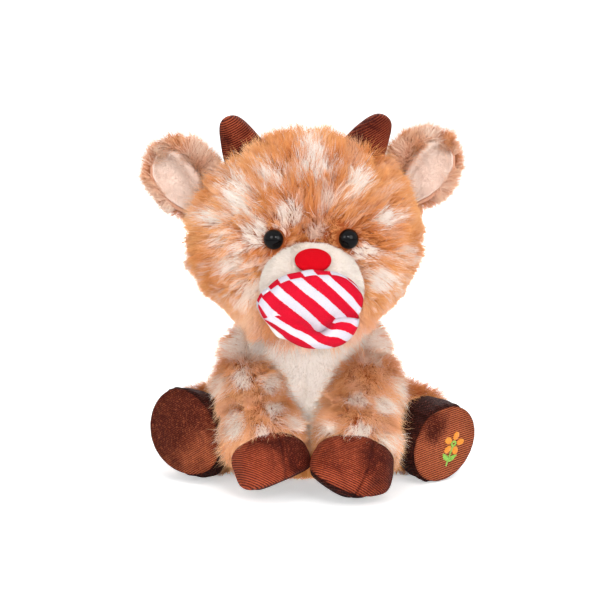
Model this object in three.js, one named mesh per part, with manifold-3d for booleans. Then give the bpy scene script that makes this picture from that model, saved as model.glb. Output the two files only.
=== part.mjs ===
// A seated plush deer: fur covers over stuffing, velour horns and hooves, a striped ring at the mouth.
// Millimetres, +Z up. The toy faces -Y and sits on the plane z = 0. Left is its own left, +X.
// Each fur cover is drawn to the tips of its pile, so pile and cloth together are one thick wall.
import * as THREE from "three";
import { mergeVertices } from "three/addons/utils/BufferGeometryUtils.js";
import Module from "manifold-3d";

const wasm = await Module();
wasm.setup();

// Cloth
const clothGround = 1;
const longPile = 10;
const shortPile = 2.5;
const furWall = clothGround + longPile;
const plushWall = clothGround + shortPile;
const velourWall = 1.8;
const stripeWall = 1.6;
const feltThickness = 2.2;

// Clearances
const sewnGap = 0.3;
const flexGap = 0.8;
const restDepth = 0.5;
const overrun = 6;
const mergeReach = 0.0001;

// Torso
const torsoWidth = 94;
const torsoDepth = 82;
const torsoTop = 92;
const torsoSetBack = 6;
const seatWall = 3;
const bellyWidth = 62;
const bellyTop = 80;
const bellyBottom = 14;

// Head
const headWidth = 131;
const headDepth = 104;
const headHeight = 116;
const headCentreHeight = 130;
const headForward = 5;
const headTurn = 2.5;
const neckHeight = 77;
const neckRadius = 20;

// Muzzle and nose
const muzzleWidth = 56;
const muzzleDepth = 44;
const muzzleHeight = 48;
const muzzleForward = 50;
const muzzleDrop = 18;
const noseWidth = 20;
const noseHeight = 16;
const noseLift = 18;
const noseTilt = 42;

// Eyes
const eyeDiameter = 10.5;
const eyeCrown = 4.2;
const eyeSpacing = 41.8;
const eyeLift = 7;
const eyeDepthInFur = 4.5;
const eyeStemDiameter = 4;
const eyeWellRoom = 1.2;
const washerDiameter = 12;
const washerThickness = 1.2;
const washerSeat = 1.6;
const stemPastWasher = 2;

// Horns
const hornBaseDiameter = 26;
const hornLength = 37;
const hornTipDiameter = 11;
const hornSpacing = 54;
const hornBaseLift = 34;
const hornSetBack = 6;
const hornLean = 25;

// Ears
const earWidth = 40;
const earLength = 43;
const earThickness = 17;
const earRootDiameter = 20;
const earSpacing = 108;
const earLift = 18.5;
const earSetBack = 9;
const earLean = 35;
const liningWidth = 25;
const liningLength = 35;
const liningHollow = 7.5;
const liningWall = 2;

// Striped ring
const ringWidth = 56.6;
const ringHeight = 43.7;
const ringThickness = 16;
const ringHoleWidth = 24;
const ringHoleHeight = 3.4;
const ringHoleDrop = 7.5;
const ringForward = 5.5;
const ringSideShift = 1.3;
const tackDiameter = 4;
const tackAboveMuzzleCentre = 9;
const tackBelowRingTop = 5;

// Forelegs
const shoulderSpacing = 65;
const shoulderHeight = 53;
const shoulderForward = 16;
const shoulderDiameter = 38;
const forelegHeight = 40;
const forelegWidth = 45;
const cuffHeight = 38;
const frontHoofHeight = 35;
const frontHoofSpacing = 41.5;
const frontHoofSideShift = 2.7;
const frontHoofForward = { left: 70, right: 64 };
const frontHoofBehindToe = 10;
const frontSoleHeight = 4.5;

// Hind legs
const hipSpacing = 76;
const hipSetBack = 20;
const thighHeight = 49;
const thighWidthShare = 0.93;
const hindlegLength = 60;
const hindHoofLength = 22;
const hindSoleThickness = 3.5;
const hindSoleCrown = 1.6;
const hindTurn = { left: 39, right: 29 };

// Embroidery on the left hind sole
const motifSize = 22;
const motifThickness = 0.7;
const petalCount = 5;
const petalPointCount = 6;

// Tail
const tailLength = 27;
const tailWidth = 19;
const tailThickness = 15;
const tailRootDiameter = 15;
const tailHeight = 21;
const tailSunk = 4;
const tailRiseAngle = 35;

// How far each joint swings, in degrees
const nodAngle = 8;
const liftAngle = 18;
const splayAngle = 20;
const foldAngle = 20;
const ringSwingAngle = 25;
const tailSwingAngle = 20;

// Facets
const coarse = { sides: 14, rings: 8 };
const fine = { sides: 20, rings: 12 };
const small = { sides: 12, rings: 8 };
const tiny = { sides: 8, rings: 5 };
const ringSegmentCount = 19;
const ringSectionCount = 8;
const arcSegmentCount = 4;

const up = new THREE.Vector3(0, 0, 1);
const back = new THREE.Vector3(0, 1, 0);
const radians = THREE.MathUtils.degToRad;

// Colours read off the cloth, and one material per finish
const finish = (color, roughness, metalness = 0) =>
  new THREE.MeshStandardMaterial({ color, roughness, metalness });
const fur = finish(0xd6965f, 0.95);
const cream = finish(0xf7ece0, 0.9);
const earCream = finish(0xf3dccb, 0.9);
const velour = finish(0x6a3020, 0.7);
const darkVelour = finish(0x4a2016, 0.75);
const redFelt = finish(0xd8001c, 0.9);
const stripedPlush = finish(0xe8354c, 0.85);
const blackGloss = finish(0x050505, 0.08);
const washerPlastic = finish(0xe4e4e0, 0.5);
const fibre = finish(0xf8f8f4, 1);
const thread = finish(0xd0102a, 0.7);
const embroideryThread = finish(0xf29a1e, 0.5);

// A closed geometry as a solid, with its faces turned outwards.
function solidOf(geometry) {
  const bare = new THREE.BufferGeometry();
  const open = geometry.index ? geometry.toNonIndexed() : geometry;
  bare.setAttribute("position", open.getAttribute("position"));
  const merged = mergeVertices(bare, mergeReach);
  const corners = merged.attributes.position;
  const indices = merged.index.array;
  const faces = [];
  const a = new THREE.Vector3();
  const b = new THREE.Vector3();
  const c = new THREE.Vector3();
  let volume = 0;
  for (let i = 0; i < indices.length; i += 3) {
    const [p, q, r] = [indices[i], indices[i + 1], indices[i + 2]];
    if (p === q || q === r || r === p) continue;
    a.fromBufferAttribute(corners, p);
    b.fromBufferAttribute(corners, q);
    c.fromBufferAttribute(corners, r);
    volume += a.dot(b.cross(c));
    faces.push([p, q, r]);
  }
  const outward = volume < 0 ? faces.map(([p, q, r]) => [p, r, q]) : faces;
  const mesh = new wasm.Mesh({
    numProp: 3,
    vertProperties: new Float32Array(corners.array),
    triVerts: new Uint32Array(outward.flat()),
  });
  mesh.merge();
  return new wasm.Manifold(mesh);
}

// The solid of a geometry drawn in a group's own frame, as it stands in the whole toy.
const solidIn = (group, geometry) => solidOf(geometry.clone().applyMatrix4(group.matrixWorld));

// A group at a joint: its local +Z looks along aim, and its local +Y as near roll as it can.
function jointGroup(parent, x, y, z, aim = up, roll = back) {
  const group = new THREE.Group();
  const along = aim.clone().normalize();
  const across = new THREE.Vector3().crossVectors(roll, along).normalize();
  const level = new THREE.Vector3().crossVectors(along, across);
  group.position.set(x, y, z);
  group.quaternion.setFromRotationMatrix(new THREE.Matrix4().makeBasis(across, level, along));
  parent.add(group);
  group.updateWorldMatrix(true, false);
  return group;
}

// Adds a finished solid to its group as a named mesh.
function addPiece(group, name, solid, material) {
  const made = solid.getMesh();
  const geometry = new THREE.BufferGeometry();
  geometry.setAttribute("position", new THREE.BufferAttribute(made.vertProperties, 3));
  geometry.setIndex(new THREE.BufferAttribute(made.triVerts, 1));
  geometry.applyMatrix4(group.matrixWorld.clone().invert());
  geometry.computeVertexNormals();
  const mesh = new THREE.Mesh(geometry, material);
  mesh.name = name;
  group.add(mesh);
}

// Forms: every one is closed, and stands along local +Z
function ball(radius, facets = coarse) {
  return new THREE.SphereGeometry(radius, facets.sides, facets.rings).rotateX(Math.PI / 2);
}

function ellipsoid(halfX, halfY, halfZ, facets) {
  return ball(1, facets).scale(halfX, halfY, halfZ);
}

// A profile of [radius, along] points turned about +Z.
function turned(profile, sides) {
  const points = profile.map(([radius, along]) => new THREE.Vector2(Math.max(radius, 0), along));
  return new THREE.LatheGeometry(points, sides).rotateX(Math.PI / 2);
}

// The same points with a smooth curve drawn through them.
function smoothed(profile, steps) {
  const curve = new THREE.SplineCurve(profile.map(([radius, along]) => new THREE.Vector2(radius, along)));
  const points = curve.getPoints(steps).map((point) => [point.x, point.y]);
  points[0][0] = profile[0][0];
  points[steps][0] = profile[profile.length - 1][0];
  return points;
}

// A quarter circle from its full radius to the axis.
function roundEnd(radius, centre, steps = arcSegmentCount) {
  return Array.from({ length: steps + 1 }, (_, step) => {
    const angle = (step / steps) * (Math.PI / 2);
    return [step === steps ? 0 : radius * Math.cos(angle), centre + radius * Math.sin(angle)];
  });
}

// A block between two heights of a group's own +Z, wide enough to cut anything there.
function slab(from, to, reach) {
  return new THREE.BoxGeometry(2 * reach, 2 * reach, to - from).translate(0, 0, (from + to) / 2);
}

// The shape of a flat outline drawn in x and z, from one y to another.
function uprightPrism(outline, from, to) {
  const shape = new THREE.Shape(outline.map(([x, z]) => new THREE.Vector2(x, z)));
  const prism = new THREE.ExtrudeGeometry(shape, { depth: to - from, bevelEnabled: false });
  return prism.rotateX(Math.PI / 2).translate(0, to, 0);
}

// What a part that turns about a joint has to stay clear of: its neighbour, and that neighbour turned
// back by each limit of the swing. The form is in the neighbour's frame, the axis in the whole toy's.
function sweptPast(neighbour, form, joint, axis, limits) {
  const centre = new THREE.Vector3().setFromMatrixPosition(joint.matrixWorld);
  const placed = form.clone().applyMatrix4(neighbour.matrixWorld);
  return limits.reduce((swept, limit) => {
    const turn = new THREE.Matrix4().makeRotationAxis(axis, -radians(limit));
    const moved = placed.clone().translate(-centre.x, -centre.y, -centre.z).applyMatrix4(turn);
    return swept.add(solidOf(moved.translate(centre.x, centre.y, centre.z)));
  }, solidOf(placed));
}

const toy = new THREE.Group();
toy.name = "plush_deer";
toy.updateMatrixWorld(true);

const reach = headWidth + torsoWidth;
const ground = solidIn(toy, slab(-reach, 0, reach));

// Torso: a barrel with round shoulders, pressed flat at the seat
const barrelShares = [
  [0, 0],
  [0.42, 0],
  [0.74, 0.04],
  [0.93, 0.15],
  [1, 0.35],
  [1, 0.6],
  [0.99, 0.76],
  [0.92, 0.89],
  [0.74, 0.97],
  [0.42, 1],
  [0, 1],
];

function torsoForm(grow, bottom, facets) {
  const top = torsoTop + grow;
  const profile = smoothed(barrelShares, facets.rings).map(([radius, height]) => [
    radius * (torsoWidth / 2 + grow),
    bottom + height * (top - bottom),
  ]);
  const depthShare = (torsoDepth / 2 + grow) / (torsoWidth / 2 + grow);
  return turned(profile, facets.sides).scale(1, depthShare, 1).translate(0, torsoSetBack, 0);
}

// Joints of the torso
const neck = jointGroup(toy, 0, 0, neckHeight);
const turnedBack = back.clone().applyAxisAngle(up, radians(headTurn));
const head = jointGroup(neck, 0, 0, 0, up, turnedBack);
const sides = [
  { name: "left", sign: 1 },
  { name: "right", sign: -1 },
];
for (const side of sides) {
  const shoulderX = (side.sign * shoulderSpacing) / 2;
  const toe = new THREE.Vector3(
    (side.sign * frontHoofSpacing) / 2 + frontHoofSideShift,
    -frontHoofForward[side.name],
    frontHoofHeight / 2 - restDepth,
  );
  side.forelegAim = toe.clone().sub(new THREE.Vector3(shoulderX, -shoulderForward, shoulderHeight));
  side.forelegReach = side.forelegAim.length();
  side.foreleg = jointGroup(toy, shoulderX, -shoulderForward, shoulderHeight, side.forelegAim, up);
  const outward = radians(hindTurn[side.name]);
  const hindAim = new THREE.Vector3(side.sign * Math.sin(outward), -Math.cos(outward), 0);
  const hipX = (side.sign * hipSpacing) / 2;
  side.hindleg = jointGroup(toy, hipX, hipSetBack, thighHeight / 2 - restDepth, hindAim, up);
}
const shoulderRadius = shoulderDiameter / 2;
const hipRadius = thighHeight / 2;
const torsoBackFace = torsoSetBack + torsoDepth / 2;
const tailAim = new THREE.Vector3(0, Math.cos(radians(tailRiseAngle)), Math.sin(radians(tailRiseAngle)));
const tail = jointGroup(toy, 0, torsoBackFace - tailSunk, tailHeight, tailAim, up);

// The lowest that the head reaches as it turns and nods: a bowl above torso and forelegs
const bowlRadius = (headWidth * headWidth) / (2 * headHeight);
const bowlBottom = headCentreHeight - headHeight / 2 - flexGap;
const bowlCentre = bowlBottom + bowlRadius;
const bowlShift = (bowlCentre - neckHeight) * Math.sin(radians(nodAngle));
const bowlDrop = (bowlCentre - neckHeight) * (1 - Math.cos(radians(nodAngle)));
const bowlProfile = [[0, bowlBottom - bowlDrop]];
for (let step = 0; step <= coarse.rings; step += 1) {
  const angle = (step / coarse.rings) * (Math.PI / 2);
  const height = bowlCentre - bowlDrop - bowlRadius * Math.cos(angle);
  bowlProfile.push([bowlShift + bowlRadius * Math.sin(angle), height]);
}
bowlProfile.push([0, bowlCentre - bowlDrop]);
const headBowl = solidIn(toy, turned(bowlProfile, coarse.sides));

const forelegSocket = (side) => solidIn(side.foreleg, ball(shoulderRadius + flexGap, fine));
const hipSocket = (side) => solidIn(side.hindleg, ball(hipRadius + flexGap, fine));
const neckSocket = solidIn(neck, ball(neckRadius + flexGap));
const tailSocket = solidIn(tail, ball(tailRootDiameter / 2 + flexGap, small));
const torsoSockets = sides
  .flatMap((side) => [forelegSocket(side), hipSocket(side)])
  .reduce((all, socket) => all.add(socket), neckSocket.add(tailSocket));

// Belly opening: wide under the chin and narrow between the legs, as shares of its width and height
const bellyShares = [
  [-0.16, 0],
  [0.16, 0],
  [0.36, 0.3],
  [0.5, 0.62],
  [0.5, 1],
  [-0.5, 1],
  [-0.5, 0.62],
  [-0.36, 0.3],
];

function bellyPrism(grow) {
  const outline = bellyShares.map(([across, height]) => [
    across * (bellyWidth + 2 * grow),
    bellyBottom - grow + height * (bellyTop - bellyBottom + 2 * grow),
  ]);
  return solidIn(toy, uprightPrism(outline, -torsoDepth, torsoSetBack));
}

const torsoCore = (grow) => solidIn(toy, torsoForm(grow - furWall, seatWall - grow, coarse));
addPiece(toy, "torso_stuffing", torsoCore(0).subtract(torsoSockets).subtract(headBowl), fibre);
addPiece(
  toy,
  "torso_cover",
  solidIn(toy, torsoForm(0, -restDepth, fine))
    .subtract(torsoCore(sewnGap))
    .subtract(torsoSockets)
    .subtract(headBowl)
    .subtract(bellyPrism(sewnGap))
    .subtract(ground),
  fur,
);
const bellySkin = solidIn(toy, torsoForm(shortPile - longPile, seatWall - shortPile, fine))
  .subtract(torsoCore(sewnGap))
  .intersect(bellyPrism(0))
  .subtract(torsoSockets)
  .subtract(headBowl);
for (const side of sides) {
  const half = new THREE.BoxGeometry(reach, reach, reach);
  half.translate((side.sign * (reach + sewnGap)) / 2, 0, 0);
  addPiece(toy, "belly_panel_" + side.name, bellySkin.intersect(solidIn(toy, half)), cream);
}

// Neck wad: a ball that the head turns on and nods on
addPiece(neck, "neck_stuffing", solidIn(neck, ball(neckRadius)), fibre);

// Head and muzzle
const headCentre = [0, -headForward, headCentreHeight - neckHeight];
const muzzleCentre = [0, -headForward - muzzleForward, headCentreHeight - muzzleDrop - neckHeight];

function headShape(grow, facets) {
  const form = ellipsoid(headWidth / 2 + grow, headDepth / 2 + grow, headHeight / 2 + grow, facets);
  return form.translate(...headCentre);
}

function muzzleShape(grow, facets) {
  const form = ellipsoid(muzzleWidth / 2 + grow, muzzleDepth / 2 + grow, muzzleHeight / 2 + grow, facets);
  return form.translate(...muzzleCentre);
}

const headForm = (grow, facets) => solidIn(head, headShape(grow, facets));
const muzzleForm = (grow, facets) => solidIn(head, muzzleShape(grow, facets));
const headCore = (grow) => headForm(grow - furWall, coarse).add(muzzleForm(grow - plushWall, coarse));

// A point on the head's fur surface, as seen from the front at x and z from its centre
function headFront(x, z) {
  const share = 1 - (x / (headWidth / 2)) ** 2 - (z / (headHeight / 2)) ** 2;
  return headCentre[1] - (headDepth / 2) * Math.sqrt(share);
}

// Eyes: a dome on a stem, in a well of trimmed fur, locked from inside by a washer
const eyeRadius = eyeDiameter / 2;
const stemRadius = eyeStemDiameter / 2;
const coverBehindEye = furWall - eyeDepthInFur;
const washerFront = -coverBehindEye - washerSeat;
const washerBack = washerFront - washerThickness;
const eyeForm = turned(
  [
    [0, washerBack - stemPastWasher],
    [stemRadius, washerBack - stemPastWasher],
    [stemRadius, 0],
    ...roundEnd(1, 0).map(([radius, rise]) => [radius * eyeRadius, rise * eyeCrown]),
  ],
  small.sides,
);
const eyeWell = turned(
  [
    [0, washerBack - stemPastWasher - sewnGap],
    [stemRadius + sewnGap, washerBack - stemPastWasher - sewnGap],
    [stemRadius + sewnGap, -sewnGap],
    [eyeRadius + sewnGap, -sewnGap],
    [eyeRadius + eyeWellRoom + eyeDepthInFur + overrun, eyeDepthInFur + overrun],
    [0, eyeDepthInFur + overrun],
  ],
  small.sides,
);
const washerRing = (grow) =>
  turned(
    [
      [stemRadius + sewnGap - grow, washerBack - grow],
      [washerDiameter / 2 + grow, washerBack - grow],
      [washerDiameter / 2 + grow, washerFront + grow],
      [stemRadius + sewnGap - grow, washerFront + grow],
      [stemRadius + sewnGap - grow, washerBack - grow],
    ],
    small.sides,
  );

// Horns: stout velour stubs with rounded tips
const hornShares = [
  [0.95, 0.3],
  [0.78, 0.58],
];
function hornForm(grow) {
  const baseRadius = hornBaseDiameter / 2;
  const tipRadius = hornTipDiameter / 2;
  const profile = [
    [0, -grow],
    [baseRadius + grow, -grow],
    ...hornShares.map(([radius, along]) => [radius * baseRadius + grow, along * hornLength]),
    ...roundEnd(tipRadius + grow, hornLength - tipRadius),
  ];
  return turned(profile, small.sides);
}

// Ears: a fur shell on a stuffed root, scooped for its lining
function earShell(grow) {
  const form = ellipsoid(earWidth / 2 + grow, earThickness / 2 + grow, earLength / 2 + grow, coarse);
  return form.translate(0, 0, earLength / 2);
}

function earScoop(grow) {
  const form = ellipsoid(liningWidth / 2 + grow, liningHollow + grow, liningLength / 2 + grow, small);
  return form.translate(0, -earThickness / 2, earLength / 2);
}

const earRootRadius = earRootDiameter / 2;
for (const side of sides) {
  const eyeX = (side.sign * eyeSpacing) / 2;
  const surface = new THREE.Vector3(eyeX, headFront(eyeX, eyeLift), headCentre[2] + eyeLift);
  const eyeAim = new THREE.Vector3(
    eyeX / (headWidth / 2) ** 2,
    (surface.y - headCentre[1]) / (headDepth / 2) ** 2,
    eyeLift / (headHeight / 2) ** 2,
  ).normalize();
  surface.addScaledVector(eyeAim, -eyeDepthInFur);
  side.eye = jointGroup(head, surface.x, surface.y, surface.z, eyeAim, up);

  const lean = radians(hornLean);
  const hornAim = new THREE.Vector3(side.sign * Math.sin(lean), 0, Math.cos(lean));
  const hornX = (side.sign * hornSpacing) / 2;
  const hornZ = headCentre[2] + hornBaseLift;
  side.horn = jointGroup(head, hornX, headCentre[1] + hornSetBack, hornZ, hornAim);

  const earTurn = radians(earLean);
  const earAim = new THREE.Vector3(side.sign * Math.sin(earTurn), 0, Math.cos(earTurn));
  const earX = (side.sign * earSpacing) / 2;
  side.ear = jointGroup(head, earX, headCentre[1] + earSetBack, headCentre[2] + earLift, earAim);
}

// Ring: a squashed torus with its hole low, hung from a thread knot on the muzzle
const ringTopShare = 1;
const ringBottomShare = 0.82;
const tackForward = (muzzleDepth / 2) * Math.sqrt(1 - (tackAboveMuzzleCentre / (muzzleHeight / 2)) ** 2);
const tackPlace = [0, muzzleCentre[1] - tackForward, muzzleCentre[2] + tackAboveMuzzleCentre];
const ring = jointGroup(head, ...tackPlace);

function ringForm(inset) {
  const halfWidth = ringWidth / 2 - inset;
  const halfHeight = ringHeight / 2 - inset;
  const centreZ = tackBelowRingTop - ringHeight / 2;
  const places = [];
  for (let step = 0; step < ringSegmentCount; step += 1) {
    const angle = (step / ringSegmentCount) * 2 * Math.PI;
    const outer = new THREE.Vector2(
      halfWidth * Math.cos(angle) - ringSideShift,
      halfHeight * Math.sin(angle),
    );
    const inner = new THREE.Vector2(
      (ringHoleWidth / 2 + inset) * Math.cos(angle) - ringSideShift,
      (ringHoleHeight / 2 + inset) * Math.sin(angle) - ringHoleDrop,
    );
    const middle = outer.clone().add(inner).divideScalar(2);
    const half = outer.clone().sub(inner).divideScalar(2);
    const topness = (1 + Math.sin(angle)) / 2;
    const thickShare = ringBottomShare + (ringTopShare - ringBottomShare) * topness;
    const halfThickness = (ringThickness / 2) * thickShare - inset;
    for (let turn = 0; turn < ringSectionCount; turn += 1) {
      const roll = (turn / ringSectionCount) * 2 * Math.PI;
      const x = middle.x + half.x * Math.cos(roll);
      const z = middle.y + half.y * Math.cos(roll);
      places.push(x, halfThickness * Math.sin(roll) - ringForward, z + centreZ);
    }
  }
  const faces = [];
  for (let step = 0; step < ringSegmentCount; step += 1) {
    for (let turn = 0; turn < ringSectionCount; turn += 1) {
      const next = (step + 1) % ringSegmentCount;
      const over = (turn + 1) % ringSectionCount;
      const a = step * ringSectionCount + turn;
      const b = next * ringSectionCount + turn;
      const c = next * ringSectionCount + over;
      const d = step * ringSectionCount + over;
      faces.push(a, b, c, a, c, d);
    }
  }
  const geometry = new THREE.BufferGeometry();
  geometry.setAttribute("position", new THREE.Float32BufferAttribute(places, 3));
  geometry.setIndex(faces);
  return solidIn(ring, geometry);
}

const tackRadius = tackDiameter / 2;
const tackPocket = solidIn(ring, ball(tackRadius + sewnGap, tiny));
const swingAxis = new THREE.Vector3(-1, 0, 0).transformDirection(head.matrixWorld);
const muzzlePast = (grow) => sweptPast(head, muzzleShape(grow, fine), ring, swingAxis, [ringSwingAngle]);
const ringOuter = ringForm(0).subtract(muzzlePast(sewnGap)).subtract(tackPocket);
const ringCore = (gap) => ringForm(stripeWall - gap).subtract(muzzlePast(stripeWall + sewnGap - gap));
const ringShell = ringOuter.subtract(ringCore(sewnGap));
for (const face of [
  { name: "front", sign: -1 },
  { name: "back", sign: 1 },
]) {
  const half = new THREE.BoxGeometry(reach, reach, reach);
  half.translate(0, (face.sign * (reach + sewnGap)) / 2 - ringForward, 0);
  addPiece(ring, "ring_" + face.name + "_panel", ringShell.intersect(solidIn(ring, half)), stripedPlush);
}
addPiece(ring, "ring_stuffing", ringCore(0).subtract(tackPocket), fibre);

// Head pieces, cut by one another
let coverCuts = headCore(sewnGap).add(muzzleForm(sewnGap, fine)).add(neckSocket);
let coreCuts = neckSocket;
for (const side of sides) {
  const eyeCut = solidIn(side.eye, eyeWell).add(solidIn(side.eye, washerRing(sewnGap)));
  const earSocket = solidIn(side.ear, ball(earRootRadius + flexGap, small));
  coverCuts = coverCuts.add(eyeCut).add(solidIn(side.horn, hornForm(sewnGap))).add(earSocket);
  coreCuts = coreCuts.add(eyeCut).add(earSocket);
}
addPiece(head, "head_cover", headForm(0, fine).subtract(coverCuts), fur);
addPiece(head, "head_stuffing", headCore(0).subtract(coreCuts), fibre);
addPiece(head, "muzzle_cover", muzzleForm(0, fine).subtract(headCore(sewnGap)).subtract(tackPocket), cream);
addPiece(head, "ring_tack", solidIn(ring, ball(tackRadius, tiny)), thread);

const noseAim = new THREE.Vector3(0, -Math.cos(radians(noseTilt)), Math.sin(radians(noseTilt)));
const noseForward = (muzzleDepth / 2) * Math.sqrt(1 - (noseLift / (muzzleHeight / 2)) ** 2);
const nose = jointGroup(head, 0, muzzleCentre[1] - noseForward, muzzleCentre[2] + noseLift, noseAim, up);
const noseForm = ellipsoid(noseWidth / 2, noseHeight / 2, feltThickness + sewnGap, small);
addPiece(head, "nose_pad", solidIn(nose, noseForm).subtract(muzzleForm(sewnGap, fine)), redFelt);

for (const side of sides) {
  addPiece(side.eye, "eye_" + side.name, solidIn(side.eye, eyeForm), blackGloss);
  addPiece(side.eye, "eye_washer_" + side.name, solidIn(side.eye, washerRing(0)), washerPlastic);

  const horn = solidIn(side.horn, hornForm(0)).subtract(headForm(sewnGap - furWall, coarse));
  addPiece(side.horn, "horn_" + side.name, horn, velour);

  const foldAxis = new THREE.Vector3().setFromMatrixColumn(side.ear.matrixWorld, 0);
  const headAround = headShape(flexGap, fine);
  const clearOfHead = sweptPast(head, headAround, side.ear, foldAxis, [foldAngle, -foldAngle]);
  const root = solidIn(side.ear, ball(earRootRadius, small));
  const shell = solidIn(side.ear, earShell(0)).subtract(clearOfHead).add(root);
  const scoop = solidIn(side.ear, earScoop(sewnGap));
  addPiece(side.ear, "ear_back_" + side.name, shell.subtract(scoop), fur);
  const lining = solidIn(side.ear, earScoop(0))
    .subtract(solidIn(side.ear, earScoop(-liningWall)))
    .intersect(solidIn(side.ear, earShell(0)))
    .subtract(clearOfHead);
  addPiece(side.ear, "ear_lining_" + side.name, lining, earCream);
}

// Hind legs: thigh, hoof band and oval sole along one axis, flat where they lie
const thighRadius = thighHeight / 2;
const hoofStart = hindlegLength - hindHoofLength;
const soleStart = hindlegLength - hindSoleThickness;
const bandStartShare = 0.96;
const bandMiddleShare = 0.98;
const soleEdgeShare = 0.93;
const thighShares = [
  [0.9, 0],
  [1, 0.45],
  [bandStartShare, 1],
];
const soleRadius = thighRadius * soleEdgeShare;

function hindForm(grow, end) {
  const profile = [
    [0, 0],
    ...thighShares.map(([radius, along]) => [radius * thighRadius + grow, along * hoofStart]),
    [thighRadius * bandMiddleShare + grow, (hoofStart + soleStart) / 2],
    [soleRadius + grow, end],
    [0, end],
  ];
  return turned(profile, coarse.sides).scale(thighWidthShare, 1, 1);
}

function hindSoleForm() {
  const profile = [
    [0, soleStart + sewnGap],
    [soleRadius, soleStart + sewnGap],
    ...roundEnd(1, 0).map(([radius, rise]) => [
      radius * soleRadius,
      hindlegLength - hindSoleCrown + rise * hindSoleCrown,
    ]),
  ];
  return turned(profile, coarse.sides).scale(thighWidthShare, 1, 1);
}

const hindRodRadius = thighRadius - furWall;
function hindRod(gap) {
  const lining = gap - velourWall - sewnGap;
  const profile = [
    [0, -hipRadius - overrun],
    [hindRodRadius + gap, -hipRadius - overrun],
    [hindRodRadius + gap, hoofStart - gap],
    [thighRadius * bandStartShare + lining, hoofStart + velourWall - gap],
    [soleRadius + lining, soleStart - sewnGap * 2 + gap],
    [0, soleStart - sewnGap * 2 + gap],
  ];
  return turned(profile, coarse.sides).scale(thighWidthShare, 1, 1);
}

for (const side of sides) {
  const group = side.hindleg;
  const torsoAround = torsoForm(sewnGap + flexGap, -overrun, fine);
  const clearOfTorso = sweptPast(toy, torsoAround, group, up, [side.sign * splayAngle]);
  const root = solidIn(group, ball(hipRadius));
  side.hindOuter = solidIn(group, hindForm(0, soleStart)).subtract(clearOfTorso).add(root).subtract(ground);
  const wallRing = side.hindOuter.subtract(solidIn(group, hindRod(sewnGap)));
  const furPart = solidIn(group, slab(-reach, hoofStart - sewnGap, reach));
  const hoofPart = solidIn(group, slab(hoofStart, reach, reach));
  addPiece(group, "hindleg_cover_" + side.name, wallRing.intersect(furPart), fur);
  addPiece(group, "hind_hoof_" + side.name, wallRing.intersect(hoofPart), darkVelour);
  const filling = solidIn(group, hindRod(0)).intersect(side.hindOuter);
  addPiece(group, "hindleg_stuffing_" + side.name, filling, fibre);
  addPiece(group, "hind_sole_" + side.name, solidIn(group, hindSoleForm()).subtract(ground), velour);
}

// Embroidery: a five-petalled blossom on a leafy stem, stitched on the left hind sole
const petalReachShare = 0.34;
const petalDipShare = 0.2;
const blossomLiftShare = 0.16;
function blossomShape() {
  const turns = petalCount * petalPointCount;
  const points = Array.from({ length: turns }, (_, step) => {
    const angle = (step / turns) * 2 * Math.PI;
    const open = (1 + Math.cos(petalCount * angle)) / 2;
    const radiusShare = petalDipShare + (petalReachShare - petalDipShare) * open;
    const across = radiusShare * Math.sin(angle);
    const along = radiusShare * Math.cos(angle) + blossomLiftShare;
    return new THREE.Vector2(across * motifSize, along * motifSize);
  });
  return new THREE.Shape(points);
}

function stemShape() {
  const stemShares = [
    [-0.02, 0.1],
    [-0.02, -0.26],
    [-0.2, -0.14],
    [-0.24, -0.26],
    [-0.03, -0.38],
    [-0.03, -0.5],
    [0.03, -0.5],
    [0.03, -0.38],
    [0.24, -0.26],
    [0.2, -0.14],
    [0.02, -0.26],
    [0.02, 0.1],
  ];
  return new THREE.Shape(stemShares.map(([x, y]) => new THREE.Vector2(x * motifSize, y * motifSize)));
}

const stitched = { depth: motifThickness, bevelEnabled: false };
const leftHind = sides[0].hindleg;
const motifLift = hindlegLength + sewnGap;
const blossom = new THREE.ExtrudeGeometry(blossomShape(), stitched).translate(0, 0, motifLift);
const stem = new THREE.ExtrudeGeometry(stemShape(), stitched).translate(0, 0, motifLift);
const motif = solidIn(leftHind, blossom).add(solidIn(leftHind, stem));
addPiece(leftHind, "sole_embroidery", motif, embroideryThread);

// Forelegs: fur sleeve and rounded hoof, wider than high, pressed against torso and thighs
const liftAxis = new THREE.Vector3(-1, 0, 0);
const forelegWidthShare = forelegWidth / forelegHeight;
const rodRadius = forelegHeight / 2 - furWall;
const cuffRadius = cuffHeight / 2;
const frontHoofRadius = frontHoofHeight / 2;
const legSwellShare = 0.4;

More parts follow.
